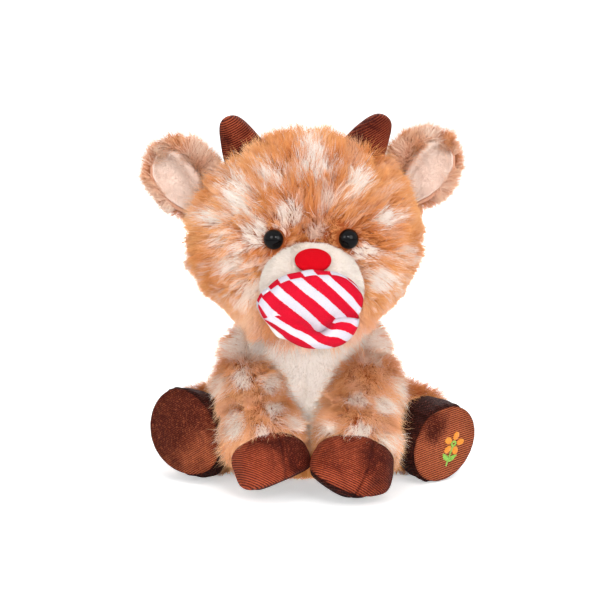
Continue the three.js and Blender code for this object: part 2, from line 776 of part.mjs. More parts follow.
for (const side of sides) {
  const group = side.foreleg;
  const cuffAt = side.forelegReach - frontHoofBehindToe;
  const legForm = turned(
    [
      [0, 0],
      [shoulderRadius, 0],
      [forelegHeight / 2, cuffAt * legSwellShare],
      [cuffRadius, cuffAt],
      ...roundEnd(frontHoofRadius, side.forelegReach),
    ],
    coarse.sides,
  ).scale(forelegWidthShare, 1, 1);
  const rod = (gap) => {
    const lining = gap - velourWall - sewnGap;
    const profile = [
      [0, -shoulderRadius - overrun],
      [rodRadius + gap, -shoulderRadius - overrun],
      [rodRadius + gap, cuffAt - gap],
      [cuffRadius + lining, cuffAt + velourWall - gap],
      ...roundEnd(frontHoofRadius + lining, side.forelegReach),
    ];
    return solidIn(group, turned(profile, coarse.sides).scale(forelegWidthShare, 1, 1));
  };
  const clearOfTorso = solidIn(toy, torsoForm(sewnGap + flexGap, -overrun, fine));
  const thighAround = hindForm(flexGap, hindlegLength + flexGap);
  const clearOfThigh = sweptPast(side.hindleg, thighAround, group, liftAxis, [liftAngle]);
  const outer = solidIn(group, legForm)
    .subtract(clearOfTorso)
    .add(solidIn(group, ball(shoulderRadius)))
    .subtract(clearOfThigh)
    .subtract(ground);
  const wallRing = outer.subtract(rod(sewnGap));
  const furPart = solidIn(group, slab(-reach, cuffAt - sewnGap, reach));
  const hoofPart = solidIn(group, slab(cuffAt, reach, reach));
  const solePart = solidIn(toy, slab(-reach, frontSoleHeight, reach));
  const aboveSole = solidIn(toy, slab(frontSoleHeight + sewnGap, reach, reach));
  const hoofWall = wallRing.intersect(hoofPart);
  addPiece(group, "foreleg_cover_" + side.name, wallRing.intersect(furPart), fur);
  addPiece(group, "front_hoof_" + side.name, hoofWall.intersect(aboveSole), velour);
  addPiece(group, "front_sole_" + side.name, outer.intersect(hoofPart).intersect(solePart), darkVelour);
  addPiece(group, "foreleg_stuffing_" + side.name, rod(0).intersect(outer).intersect(aboveSole), fibre);
}

// Tail: a short fur tuft on a stuffed root
const tuft = ellipsoid(tailWidth / 2, tailThickness / 2, tailLength / 2, small);
tuft.translate(0, 0, tailLength / 2);
const torsoBehind = torsoForm(flexGap, -restDepth, fine);
const tailAxis = new THREE.Vector3(1, 0, 0);
const tuftClear = sweptPast(toy, torsoBehind, tail, tailAxis, [tailSwingAngle, -tailSwingAngle]);
const tailRoot = solidIn(tail, ball(tailRootDiameter / 2, small));
addPiece(tail, "tail_cover", solidIn(tail, tuft).subtract(tuftClear).add(tailRoot), fur);

export default toy;
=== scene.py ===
"""A seated plush deer: spotted long-pile fur, cream plush, velour horns and hooves, a striped ring."""

import math
from dataclasses import dataclass

import bmesh
import bpy
import numpy as np
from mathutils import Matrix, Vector, kdtree


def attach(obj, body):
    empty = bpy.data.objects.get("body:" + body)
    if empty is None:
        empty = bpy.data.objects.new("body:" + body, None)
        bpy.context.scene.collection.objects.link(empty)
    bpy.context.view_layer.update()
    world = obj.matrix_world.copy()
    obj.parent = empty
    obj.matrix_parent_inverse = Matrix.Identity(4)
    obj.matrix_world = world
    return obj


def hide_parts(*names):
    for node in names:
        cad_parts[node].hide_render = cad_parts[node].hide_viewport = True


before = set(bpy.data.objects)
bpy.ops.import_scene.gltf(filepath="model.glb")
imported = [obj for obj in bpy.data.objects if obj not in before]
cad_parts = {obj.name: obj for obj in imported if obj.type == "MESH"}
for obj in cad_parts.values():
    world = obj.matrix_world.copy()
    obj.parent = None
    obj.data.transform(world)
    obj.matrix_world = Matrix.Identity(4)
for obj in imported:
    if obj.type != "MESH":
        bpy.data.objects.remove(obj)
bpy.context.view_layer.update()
random = np.random.default_rng(7)

MM = 0.001
UP = np.array([0.0, 0.0, 1.0])
BACK = np.array([0.0, 1.0, 0.0])
DOWN = -UP
SIDES = (("left", 1), ("right", -1))

# Camera of the photograph, in millimetres, degrees and pixels of the 600 x 600 picture
PICTURE = 600
AIM_POINT = np.array([0.0, -20.0, 95.0])
CAMERA_DISTANCE = 1300.0
CAMERA_TILT = math.radians(10.0)
PIXELS_PER_RADIAN = 2407.0
AIM_PIXEL = (307.0, 307.3)
SENSOR = 36.0

# Cloth, in millimetres as all sizes below
HEAD_FUR_DEPTH = 7.0
BODY_FUR_DEPTH = 6.5
SHORT_PILE = 2.4
BELLY_DEPTH = 10.0
BELLY_INSET = 6.5
REST_CLEARANCE = 0.4
SLEEVE_CLEARANCE = 1.0

# Torso
TORSO_HALF = (47.0, 41.0)
TORSO_TOP = 92.0
TORSO_CLOTH_TOP = 76.0
TORSO_SET_BACK = 6.0
BELLY_WIDTH = 62.0
BELLY_BOTTOM = 14.0
BELLY_TOP = 80.0

# Head, from the middle of the toy
HEAD_TURN = math.radians(2.5)
NECK_HEIGHT = 77.0
NECK_OPENING = 14.0
HEAD_CENTRE = np.array([0.0, -5.0, 130.0])
HEAD_HALF = np.array([65.5, 52.0, 58.0])
FACE_MIDDLE = np.array([0.0, -62.0, 122.0])
MUZZLE_CENTRE = np.array([0.0, -55.0, 112.0])
MUZZLE_HALF = np.array([28.0, 22.0, 24.0])
MUZZLE_SEAM_DEPTH = 0.7
MUZZLE_SEAM_WIDTH = 1.4
NOSE_HALF = (9.5, 7.2)
NOSE_LIFT = 16.4
NOSE_TILT = math.radians(42.0)
EYE_RADIUS = 5.4
EYE_CROWN = 4.2
EYE_STEM = 2.0
EYE_STEM_LENGTH = 11.0
EYE_X = 20.9
EYE_LIFT = 7.0
EYE_SUNK = 4.5
HORN_X = {"left": 23.0, "right": 27.5}
HORN_LIFT = {"left": 35.4, "right": 33.0}
HORN_SET_BACK = 6.0
HORN_LEAN = {"left": 32.0, "right": 25.0}
HORN_LENGTH = 37.0
HORN_OPENING = 11.5
EAR_X = {"left": 52.2, "right": 56.2}
EAR_LIFT = {"left": 18.7, "right": 14.2}
EAR_SET_BACK = 9.0
EAR_LEAN = {"left": 35.0, "right": 35.0}
EAR_OPENING = 8.5
EAR_LINING_ROOT = 4.0
EAR_LINING_LENGTH = 35.5
EAR_LINING_THICKNESS = 0.9
EAR_BACK_ROOT = 1.0
EAR_BACK_LENGTH = 39.5

# Striped ring
RING_CENTRE = np.array([-2.0, -80.9, 104.6])
RING_THICKNESS = 16.0
RING_SEAM_DEPTH = 0.45
RING_LUMPS = 0.3 * np.array([0.3, 1, 0.3])
BACK_STRIPE_STEP = 0.4
TACK_CENTRE = np.array([3.29, -75.32, 121.0])
TACK_RADIUS = 1.2
TACK_LENGTH = 2.8
TACK_TURNS = 6
TACK_THREAD_RADIUS = 0.28

# Legs
SHOULDER = (32.5, -16.0, 53.0)
SHOULDER_RADIUS = 19.0
LEG_RADIUS = 20.0
CUFF_RADIUS = 19.0
FRONT_HOOF_RADIUS = 17.5
FRONT_TOE_X = 20.75
FRONT_SIDE_SHIFT = 2.7
FRONT_TOE_FORWARD = {"left": 70.0, "right": 64.0}
TOE_HEIGHT = 17.0
HOOF_BEHIND_TOE = 10.0
LEG_WIDTH_SHARE = 1.125
HIP = (38.0, 20.0, 24.0)
THIGH_RADIUS = 24.5
THIGH_WIDTH_SHARE = 0.93
HIND_LENGTH = 60.0
HIND_HOOF_LENGTH = 22.0
HIND_HOOF_START = HIND_LENGTH - HIND_HOOF_LENGTH
HIND_SOLE_THICKNESS = 3.5
HIND_TURN = {"left": 39.0, "right": 29.0}

# Hind soles: how far they are lifted, pressed flat as a share of their height, and how their oval
# leans and swells
HIND_SOLE_LIFT = {"left": 0.0, "right": 4.8}
HIND_SOLE_SQUASH = {"left": 0.14, "right": 0.0}
HIND_SOLE_LEAN = {"left": (0.16, 0.0), "right": (-0.12, 0.12)}
MOTIF_SIZE = 21.0
MOTIF_TILT = math.radians(14.0)
MOTIF_SHIFT = (4.0, -3.5, 0.0)
MOTIF_LIFT = 0.35
STITCH_HALF_WIDTH = 0.24
STITCH_ARCH = 0.5
STITCH_ROUNDING = 0.22
STITCH_STAGGER = 0.04

# Front hooves, in the toy's millimetres. Sole: which way it rises, how steeply and from what x, and
# how far the toe lifts off the floor. Welt: x, height and slope of the seam above the dark sole.
# Seam: the one up the middle, as a plane across, upwards and off the leg's axis.
HOOF_SOLES = {"left": (-1, 0.62, 19.0, 1.2), "right": (1, 0.47, -26.0, 4.0)}
HOOF_WELTS = {"left": (2.1, 17.6, -0.45), "right": (-23.6, 7.4, 0.452)}
HOOF_SEAMS = {"left": (0.9, -0.43, 4.4), "right": (1.0, 0.06, 2.4)}
HOOF_WIDENED = {"left": 1.1, "right": 1.0}
# How strongly painted shade darkens each front hoof beyond its seam and at its top
HOOF_SHADED = {"left": 0.5, "right": 0.8}
HOOF_SQUARENESS = 2.7
HOOF_RAISE = 1.0
HOOF_SEAM_DEPTH = 0.9
WELT_DEPTH = 0.55

# Tail
TAIL_ROOT = (0.0, 43.0, 21.0)
TAIL_RISE = math.radians(35.0)
TAIL_HALF = np.array([9.5, 7.5, 13.5])
TAIL_FUR_DEPTH = 5.0

# Filling
FILLING_SINK = 1.4
FILLING_GRAIN = 2.0

# Pale spots of the fur: middle and half sizes in pixels of the photograph, and strength
FACE_SPOTS = [
    (312, 142, 12, 7, 1.0), (315, 164, 19, 11, 1.0), (270, 172, 14, 10, 0.9), (238, 195, 14, 21, 1.0),
    (357, 181, 9, 15, 1.0), (330, 199, 8, 9, 0.7), (289, 213, 14, 12, 0.9), (257, 234, 13, 15, 1.0),
    (282, 227, 9, 8, 0.7), (317, 231, 9, 9, 0.6), (387, 218, 14, 10, 1.0), (366, 253, 12, 10, 1.0),
    (384, 280, 16, 12, 0.95), (407, 255, 6, 12, 0.8), (210, 218, 11, 10, 1.0), (220, 239, 7, 10, 0.8),
    (235, 262, 13, 11, 0.9), (246, 292, 14, 13, 0.8), (213, 168, 8, 9, 0.5), (390, 190, 7, 6, 0.4),
]
BODY_SPOTS = [
    (234, 338, 36, 19, 0.9), (390, 338, 32, 19, 0.9), (240, 380, 12, 8, 1.0), (271, 384, 10, 9, 1.0),
    (275, 410, 8, 8, 1.0), (232, 427, 9, 16, 1.0), (262, 434, 8, 9, 0.9), (297, 425, 8, 9, 0.9),
    (215, 387, 8, 11, 0.8), (262, 355, 8, 6, 0.7), (357, 400, 12, 6, 0.9), (387, 406, 12, 9, 1.0),
    (361, 430, 12, 9, 1.0), (326, 427, 9, 8, 0.9), (405, 388, 8, 11, 1.0), (390, 443, 10, 10, 1.0),
    (365, 357, 8, 6, 0.6),
]


def unit(vectors):
    """The vectors at length one."""
    return vectors / np.maximum(np.linalg.norm(vectors, axis=-1, keepdims=True), 1e-9)


def rise(values, low, high):
    """0 up to low and 1 from high on, even between; it falls where low is above high."""
    return np.clip((values - low) / (high - low), 0, 1)


def bell(values, width):
    """1 where values are 0, fading away over about two widths."""
    return np.exp(-((values / width) ** 2))


def off_axis(local):
    """How far points are from the Z axis of their frame."""
    return np.hypot(local[..., 0], local[..., 1])


def photo_pixels(points):
    """Where the photograph shows points of the toy."""
    look = np.array([0.0, math.cos(CAMERA_TILT), -math.sin(CAMERA_TILT)])
    lift = np.array([0.0, math.sin(CAMERA_TILT), math.cos(CAMERA_TILT)])
    offset = points - AIM_POINT
    depth = CAMERA_DISTANCE + offset @ look
    across = AIM_PIXEL[0] + PIXELS_PER_RADIAN * offset[..., 0] / depth
    return across, AIM_PIXEL[1] - PIXELS_PER_RADIAN * (offset @ lift) / depth


class Place:
    """A frame of its own for a part of the toy: its Z looks along aim, its Y as near roll as it can."""

    def __init__(self, origin, aim=UP, roll=BACK):
        along = unit(np.asarray(aim, float))
        across = unit(np.cross(roll, along))
        self.origin = np.asarray(origin, float)
        self.axes = np.array([across, np.cross(along, across), along])

    def turn(self, vectors):
        """Directions of this frame as they point in the toy."""
        return vectors @ self.axes

    def out(self, points):
        """Points of this frame as they stand in the toy."""
        return self.origin + points @ self.axes

    def into(self, points):
        """Points of the toy as this frame has them."""
        return (points - self.origin) @ self.axes.T

    def inner(self, origin, aim, roll=BACK):
        """A frame inside this one."""
        origin, aim, roll = (np.asarray(vector, float) for vector in (origin, aim, roll))
        return Place(self.out(origin), self.turn(aim), self.turn(roll))


HEAD = Place((0, 0, 0), UP, (-math.sin(HEAD_TURN), math.cos(HEAD_TURN), 0))


class Wire:
    """A shader socket that works with Python's operators."""

    def __init__(self, nodes, socket):
        self.nodes = nodes
        self.socket = socket

    def called(self, operation, *others):
        return self.nodes.maths(operation, self, *others)

    def __add__(self, other):
        return self.nodes.maths("ADD", self, other)

    def __sub__(self, other):
        return self.nodes.maths("SUBTRACT", self, other)

    def __rsub__(self, other):
        return self.nodes.maths("SUBTRACT", other, self)

    def __mul__(self, other):
        return self.nodes.maths("MULTIPLY", self, other)

    __radd__ = __add__
    __rmul__ = __mul__


def read_colour(red, green, blue):
    """A colour read off the cloth, 0 to 255, in linear light."""
    shares = [value / 255 for value in (red, green, blue)]
    linear = [share / 12.92 if share <= 0.04045 else ((share + 0.055) / 1.055) ** 2.4 for share in shares]
    return (*linear, 1.0)


class Nodes:
    """A shader tree. Colours are wires, or triples as they are read off the cloth."""

    def __init__(self, tree):
        self.tree = tree

    def node(self, kind, settings=None, values=None, output=0):
        """A node of any kind: its settings first, then the values or links of its sockets."""
        node = self.tree.nodes.new(kind)
        for label, value in (settings or {}).items():
            if label == "stops":
                ramp = node.color_ramp
                while len(ramp.elements) < len(value):
                    ramp.elements.new(0.5)
                for element, (position, colour) in zip(ramp.elements, value):
                    element.position = position
                    element.color = read_colour(*colour)
            else:
                setattr(node, label, value)
        for label, value in (values or {}).items():
            self.feed(node, label, value)
        return Wire(self, node.outputs[output])

    def feed(self, node, label, value):
        """Links a wire to a node's socket, or writes a value on it."""
        if isinstance(value, Wire):
            self.tree.links.new(value.socket, node.inputs[label])
        else:
            node.inputs[label].default_value = value

    def maths(self, operation, *values):
        return self.node("ShaderNodeMath", {"operation": operation}, dict(enumerate(values)))

    def mix(self, factor, *colours):
        """From the first colour to the second."""
        first, second = (colour if isinstance(colour, Wire) else read_colour(*colour) for colour in colours)
        return self.node("ShaderNodeMix", {"data_type": "RGBA"}, {0: factor, 6: first, 7: second}, output=2)

    def ramp(self, factor, root, middle, tip):
        """The colours of a strand, from its root to its tip."""
        stops = [(0.0, root), (0.4, middle), (1.0, tip)]
        return self.node("ShaderNodeValToRGB", {"stops": stops}, {0: factor})

    def level(self, factor, low, high):
        """0 below low, 1 above high, smooth between."""
        settings = {"interpolation_type": "SMOOTHSTEP"}
        return self.node("ShaderNodeMapRange", settings, {0: factor, 1: low, 2: high})

    def place(self):
        return self.node("ShaderNodeTexCoord", output=3)

    def attribute(self, name):
        return self.node("ShaderNodeAttribute", {"attribute_name": name}, output=2)

    def noise(self, size, detail=2.0, distortion=0.0):
        """Smooth noise from 0 to 1, with blotches about size millimetres across."""
        values = {"Vector": self.place(), "Scale": 1 / (size * MM), "Detail": detail}
        return self.node("ShaderNodeTexNoise", None, values | {"Distortion": distortion})

    def ribs(self, direction, pitch):
        """A wave along a direction of the toy, from -1 to 1."""
        values = {0: self.place(), 1: tuple(np.asarray(direction, float) / (pitch * MM) * 2 * math.pi)}
        along = self.node("ShaderNodeVectorMath", {"operation": "DOT_PRODUCT"}, values, output=1)
        return along.called("SINE")


class Finish(Nodes):
    """A material of the toy: constants on its shader, and nodes for what changes over the cloth."""

    def __init__(self, name, slot=None, **constants):
        self.material = bpy.data.materials.new(name)
        self.material.use_nodes = True
        super().__init__(self.material.node_tree)
        self.slot = slot or name
        self.shader = self.tree.nodes["Principled BSDF"]
        for label, value in constants.items():
            label = label.replace("_", " ").title().replace("Ior", "IOR")
            self.shader.inputs[label].default_value = value

    def paint(self, colour):
        self.feed(self.shader, "Base Color", colour)

    def rough(self, value):
        self.feed(self.shader, "Roughness", value)

    def bump(self, height, depth):
        values = {"Strength": 1.0, "Distance": depth * MM, "Height": height}
        self.feed(self.shader, "Normal", self.node("ShaderNodeBump", None, values))


def spotted_fur_finish():
    """Tan fur, rust in places, with cream spots: darker at the root, a painted shade deep in the pile, and
    light at the tip.
    """
    finish = Finish("spotted_fur", roughness=0.8, specular_ior_level=0.3)
    along = finish.attribute("along")
    tan = finish.ramp(along, (210, 126, 66), (236, 156, 90), (254, 200, 138))
    rust = finish.ramp(along, (170, 84, 38), (210, 122, 64), (244, 168, 102))
    pale = finish.ramp(along, (253, 228, 206), (255, 241, 228), (255, 249, 243))
    coat = finish.mix(finish.attribute("tone"), tan, rust)
    finish.paint(finish.mix(finish.attribute("spot"), coat, pale))
    return finish


def short_plush_finish(name, shade, light, tip):
    """Short cut pile: darker between the tufts, lighter at the tips."""
    finish = Finish(name, roughness=0.9, specular_ior_level=0.2)
    patches = finish.level(finish.noise(9, 3, 0.6), 0.3, 0.7)
    ground = finish.mix(patches, shade, light)
    finish.paint(finish.mix(finish.attribute("along"), ground, tip))
    finish.bump(finish.noise(0.7, 3) + 0.5 * finish.noise(3, 2), 0.25)
    return finish


def velour_finish(name, slot, dark, light, direction):
    """Velour with fine ribs, with painted light and shade over each piece and painted glints in fine
    specks.
    """
    sheen = {"sheen_weight": 0.05, "sheen_roughness": 0.3}
    finish = Finish(name, slot, roughness=0.6, specular_ior_level=0.12, **sheen)
    finish.shader.inputs["Sheen Tint"].default_value = read_colour(*light)
    ribs = finish.ribs(direction, 1.2)
    patches = finish.noise(13, 3, 1.0) - 0.5
    # Painted light and shade, given per piece, broken up by random patches
    light_and_patches = finish.level(finish.attribute("lay") + 1.1 * patches, 0.15, 0.85)
    # Painted glints: fine bright specks, also raised and a little glossier
    painted_glints = finish.level(finish.noise(0.7, 3), 0.52, 0.72)
    worn = finish.noise(3.5, 4, 0.5)
    lit = light_and_patches * 0.36 + painted_glints * (0.44 - 0.08 * light_and_patches) + ribs * (0.1 + 0.3 * light_and_patches) + worn * 0.2
    lit = (lit - 0.08) * (1 - finish.attribute("seam"))
    finish.paint(finish.mix(lit.called("MINIMUM", 1.0).called("MAXIMUM", 0.0), dark, light))
    finish.bump(ribs * 0.5 + painted_glints * 0.8 + worn * 1.2, 0.4)
    finish.rough(0.72 - 0.25 * painted_glints)
    return finish


def striped_finish():
    """White plush printed with red stripes, whose edges step with the knit, with painted shade in the
    ring's crease.
    """
    finish = Finish("striped_plush", roughness=0.85, specular_ior_level=0.2)
    values = {0: finish.place(), 1: (0.8 * MM,) * 3}
    knit = finish.node("ShaderNodeVectorMath", {"operation": "SNAP"}, values)
    step = finish.node("ShaderNodeTexWhiteNoise", None, {"Vector": knit})
    across = finish.attribute("stripe") + (step - 0.5) * 0.02
    red = finish.level(across.called("PINGPONG", 0.5), 0.215, 0.235)
    weave = finish.noise(0.6, 2)
    white = finish.mix(weave, (192, 187, 198), (213, 209, 218))
    scarlet = finish.mix(weave, (180, 0, 28), (206, 5, 42))
    printed = finish.mix(red, white, scarlet)
    # Painted shade, darker deep in the crease between the lobes
    finish.paint(finish.mix(finish.attribute("hollow") * 0.5, printed, (120, 40, 60)))
    finish.bump(weave + finish.noise(7, 3) * 2, 0.35)
    return finish


def felt_finish():
    finish = Finish("red_felt", roughness=0.95, specular_ior_level=0.15)
    fibres = finish.noise(0.9, 5, 2.0)
    finish.paint(finish.mix(fibres, (178, 0, 14), (210, 0, 22)))
    finish.bump(fibres + finish.noise(0.35, 3), 0.25)
    return finish


def eye_finish():
    finish = Finish("eye_gloss", roughness=0.05, specular_ior_level=0.18)
    depth = finish.noise(5, 2)
    finish.paint(finish.mix(depth, (1, 1, 2), (6, 5, 7)))
    finish.rough(0.04 + 0.04 * depth)
    return finish


def washer_finish():
    finish = Finish("washer_plastic", roughness=0.45)
    grain = finish.noise(1.2, 3)
    finish.paint(finish.mix(grain, (222, 222, 216), (240, 240, 236)))
    finish.bump(grain, 0.05)
    return finish


def fibre_finish():
    """Polyester filling: tangled white fibre."""
    finish = Finish("fibre_fill", roughness=1.0, sheen_weight=0.2)
    tangle = finish.noise(1.6, 6, 3.0)
    finish.paint(finish.mix(tangle, (226, 224, 218), (252, 252, 250)))
    finish.bump(tangle, 0.8)
    return finish


def thread_finish(name, slot, shade, light):
    """Shiny twisted thread."""
    finish = Finish(name, slot, roughness=0.4, sheen_weight=0.2)
    twist = finish.level(finish.noise(0.5, 2, 1.0), 0.3, 0.7)
    finish.paint(finish.mix(twist, shade, light))
    finish.bump(twist, 0.08)
    return finish


FUR = spotted_fur_finish()
CREAM = short_plush_finish("cream_plush", (238, 225, 212), (244, 234, 224), (248, 240, 232))
EAR_PLUSH = short_plush_finish("ear_plush", (241, 216, 202), (248, 227, 214), (253, 237, 226))
HORN_VELOUR = velour_finish("horn_velour", "brown_velour", (60, 6, 3), (216, 104, 68), (0.5, 0.2, -1.0))
HOOF_VELOUR = velour_finish("hoof_velour", "brown_velour", (52, 6, 2), (200, 92, 58), (0.5, 0.5, 1.0))
SOLE_VELOUR = velour_finish("sole_velour", "brown_velour", (56, 6, 2), (226, 122, 80), (-0.5, 0.4, 1.0))
DARK_VELOUR = velour_finish("dark_velour", "dark_velour", (26, 6, 4), (136, 58, 40), (0.3, 0.5, 1.0))
STRIPES = striped_finish()
FELT = felt_finish()
EYE_GLOSS = eye_finish()
WASHER = washer_finish()
FIBRE = fibre_finish()
RED_THREAD = thread_finish("red_thread", "red_thread", (180, 8, 30), (226, 40, 60))
ORANGE_THREAD = thread_finish("orange_thread", "embroidery_thread", (226, 120, 10), (255, 172, 40))
GREEN_THREAD = thread_finish("green_thread", "embroidery_thread", (90, 160, 40), (170, 222, 90))

# Cloth that lies under fur: rust, as the roots of the strands, a painted shade deep in the fur
UNDER_FUR = {"spot": 0, "tone": 1, "along": 0}


def mesh_piece(name, points, faces, finish, body, replaces=(), values=None):
    """A mesh piece of the toy from points in millimetres, riding a body of the CAD."""
    mesh = bpy.data.meshes.new(name)
    mesh.from_pydata((points * MM).tolist(), [], faces)
    mesh.polygons.foreach_set("use_smooth", [True] * len(mesh.polygons))
    add_values(mesh, values or {})
    return dress(name, mesh, finish, body, replaces)


def add_values(mesh, values):
    """Numbers at the points of a mesh for its finish to read: one for all of them, or one each."""
    for label, data in values.items():
        layer = mesh.attributes.new(label, "FLOAT", "POINT")
        each = np.broadcast_to(np.ravel(data), len(mesh.vertices))
        layer.data.foreach_set("value", each.astype(np.float32))


def dress(name, data, finish, body, replaces=()):
    """Puts a mesh or curve in the scene with its finish, its body and the CAD nodes it stands for."""
    data.materials.append(finish.material)
    piece = bpy.data.objects.new(name, data)
    bpy.context.scene.collection.objects.link(piece)
    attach(piece, body)
    if replaces:
        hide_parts(*replaces)
    return piece


def cloth_piece(name, cloth, finish, body, node, padding=None, **values):
    """A cloth that stands for a CAD node. The share of padding under it is not used."""
    piece = mesh_piece(name, cloth.points, cloth.faces.tolist(), finish, body, [node], values)
    return piece


class Cloth:
    """A grid of points in millimetres, rows by columns, closed round its columns if it wraps."""

    def __init__(self, points, wraps=True):
        rows, columns = points.shape[:2]
        self.points = points.reshape(-1, 3)
        reach = columns if wraps else columns - 1
        row, column = np.meshgrid(np.arange(rows - 1), np.arange(reach), indexing="ij")
        beside = (column + 1) % columns
        corners = [row * columns + column, row * columns + beside]
        corners += [(row + 1) * columns + beside, (row + 1) * columns + column]
        self.faces = np.stack(corners, axis=-1).reshape(-1, 4)
        a, b, c, d = (self.points[self.faces[:, corner]] for corner in range(4))
        facing = np.cross(c - a, d - b)
        self.normals = np.zeros_like(self.points)
        for corner in range(4):
            np.add.at(self.normals, self.faces[:, corner], facing)
        self.normals = unit(self.normals)

    def face(self, outwards):
        """Turns the cloth over if it faces away from outwards on the whole."""
        if (self.normals * outwards).sum(-1).mean() < 0:
            self.faces = self.faces[:, ::-1]
            self.normals = -self.normals

    def scatter(self, per_square_mm):
        """Random roots on the cloth, with the cloth's normals there."""
        corners = np.concatenate([self.faces[:, [0, 1, 2]], self.faces[:, [0, 2, 3]]])
        a, b, c = (self.points[corners[:, corner]] for corner in range(3))
        areas = np.linalg.norm(np.cross(b - a, c - a), axis=1) / 2
        count = int(areas.sum() * per_square_mm)
        picked = corners[random.choice(len(corners), count, p=areas / areas.sum())]
        u, v = random.random((2, count))
        over = u + v > 1
        u[over], v[over] = 1 - u[over], 1 - v[over]
        shares = np.stack([1 - u - v, u, v], axis=1)[:, :, None]
        return (self.points[picked] * shares).sum(1), unit((self.normals[picked] * shares).sum(1))


def ellipsoid(centre, half, rows=40, columns=64):
    """An ellipsoid as rows of points from its top to its bottom."""
    lift = np.linspace(0, math.pi, rows)[:, None]
    round_ = np.linspace(0, 2 * math.pi, columns, False)
    z = np.cos(lift) * np.ones(columns)
    points = np.stack([np.sin(lift) * np.cos(round_), np.sin(lift) * np.sin(round_), z], axis=-1)
    return centre + points[:, ::-1] * half


def lathe(profile, columns=48, wide=1.0):
    """A profile of (radius, height) points turned about Z, from its last point down to its first."""
    radius, height = np.asarray(profile, float)[::-1].T
    round_ = np.linspace(0, 2 * math.pi, columns, False)[::-1]
    x = radius[:, None] * np.cos(round_) * wide
    return np.stack([x, radius[:, None] * np.sin(round_), np.repeat(height[:, None], columns, 1)], axis=-1)


def line_steps(line):
    """How far along a line of points each of them is."""
    return np.concatenate([[0], np.cumsum(np.linalg.norm(np.diff(line, axis=0), axis=1))])


def smooth(stops, count):
    """A smooth line through stops, at even steps."""
    stops = np.asarray(stops, float)
    steps = line_steps(stops)
    at = np.linspace(0, steps[-1], count)
    slopes = np.gradient(stops, steps, axis=0)
    part = np.clip(np.searchsorted(steps, at, "right") - 1, 0, len(steps) - 2)
    span = (steps[part + 1] - steps[part])[:, None]
    t = (at - steps[part])[:, None] / span
    first = (2 * t**3 - 3 * t**2 + 1) * stops[part] + (t**3 - 2 * t**2 + t) * span * slopes[part]
    return first + (3 * t**2 - 2 * t**3) * stops[part + 1] + (t**3 - t**2) * span * slopes[part + 1]


WAVES = np.random.default_rng(3)
WAVE_TURNS = unit(WAVES.normal(size=(14, 3)))
WAVE_STARTS = WAVES.random(14) * 2 * math.pi
WAVE_SPREAD = WAVES.uniform(0.7, 1.4, 14)


def drift(points, size):
    """Smooth noise from about -1 to 1 over points of the toy, with blotches of that size."""
    waves = np.sin(points @ WAVE_TURNS.T * (2 * math.pi / (size * 1.6)) * WAVE_SPREAD + WAVE_STARTS)
    return waves.sum(-1) / 4.2


def tangent(vectors, normals):
    """The part of each vector that lies in the cloth."""
    return unit(vectors - (vectors * normals).sum(-1, keepdims=True) * normals)


# Fur: strands of four points, gathered into clumps, drawn as thin tapering ribbons
STRAND_STEPS = 4
STRAND_ALONG = np.linspace(0, 1, STRAND_STEPS)
STRAND_WIDTHS = np.array([0.23, 0.22, 0.16, 0.0])
STRAND_ROOM = 0.3
STRAY_SHARE = 0.24
SPOT_BINS = 8
TONE_BINS = 8


@dataclass
class Coat:
    """How a coat grows: strands to a square millimetre, and their length. Their lean at root and tip and
    the ruffle that makes tufts stand or lie are in degrees; droop bends them down, frizz makes them stray.
    One in so many strands leads a tuft, one in so many a clump, and both pull by a share at the tip."""

    density: float
    length: float
    lean: tuple = (26, 60)
    droop: float = 0.1
    frizz: float = 0.2
    tuft: int = 260
    clump: int = 15
    pulls: tuple = (0.28, 0.62)
    ruffle: float = 11


HEAD_COAT = Coat(3.5, 13.4)
EAR_COAT = Coat(5.2, 9.8, lean=(30, 64), pulls=(0.12, 0.4))
TORSO_COAT = Coat(2.9, 11.5, lean=(24, 56), droop=0.15)
FORELEG_COAT = Coat(4.3, 11.5, lean=(34, 70), pulls=(0.16, 0.4), ruffle=6)
HINDLEG_COAT = Coat(3.4, 11.8, lean=(28, 62), droop=0.2)
TAIL_COAT = Coat(5.0, 8.5, lean=(35, 66), tuft=30)
MUZZLE_PILE = Coat(5.5, SHORT_PILE, frizz=0.14, tuft=200, clump=12, pulls=(0.02, 0.1))
EAR_PILE = Coat(4.0, 1.5, lean=(25, 60), frizz=0.25, tuft=100, clump=9, pulls=(0.1, 0.3))
BELLY_PILE = Coat(5.5, 3.6, lean=(30, 72), frizz=0.14, tuft=200, clump=14, pulls=(0.1, 0.3))


def gather(strands, every, pull, power):
    """Draws strands towards the nearest of a few of them, more at the tips."""
    leaders = random.choice(len(strands), max(4, len(strands) // every), replace=False)
    tree = kdtree.KDTree(len(leaders))
    for index, leader in enumerate(leaders):
        tree.insert(strands[leader, 0], index)
    tree.balance()
    nearest = leaders[[tree.find(root)[1] for root in strands[:, 0]]]
    share = (pull * STRAND_ALONG**power)[None, :, None]
    return strands + (strands[nearest] - strands) * share, nearest


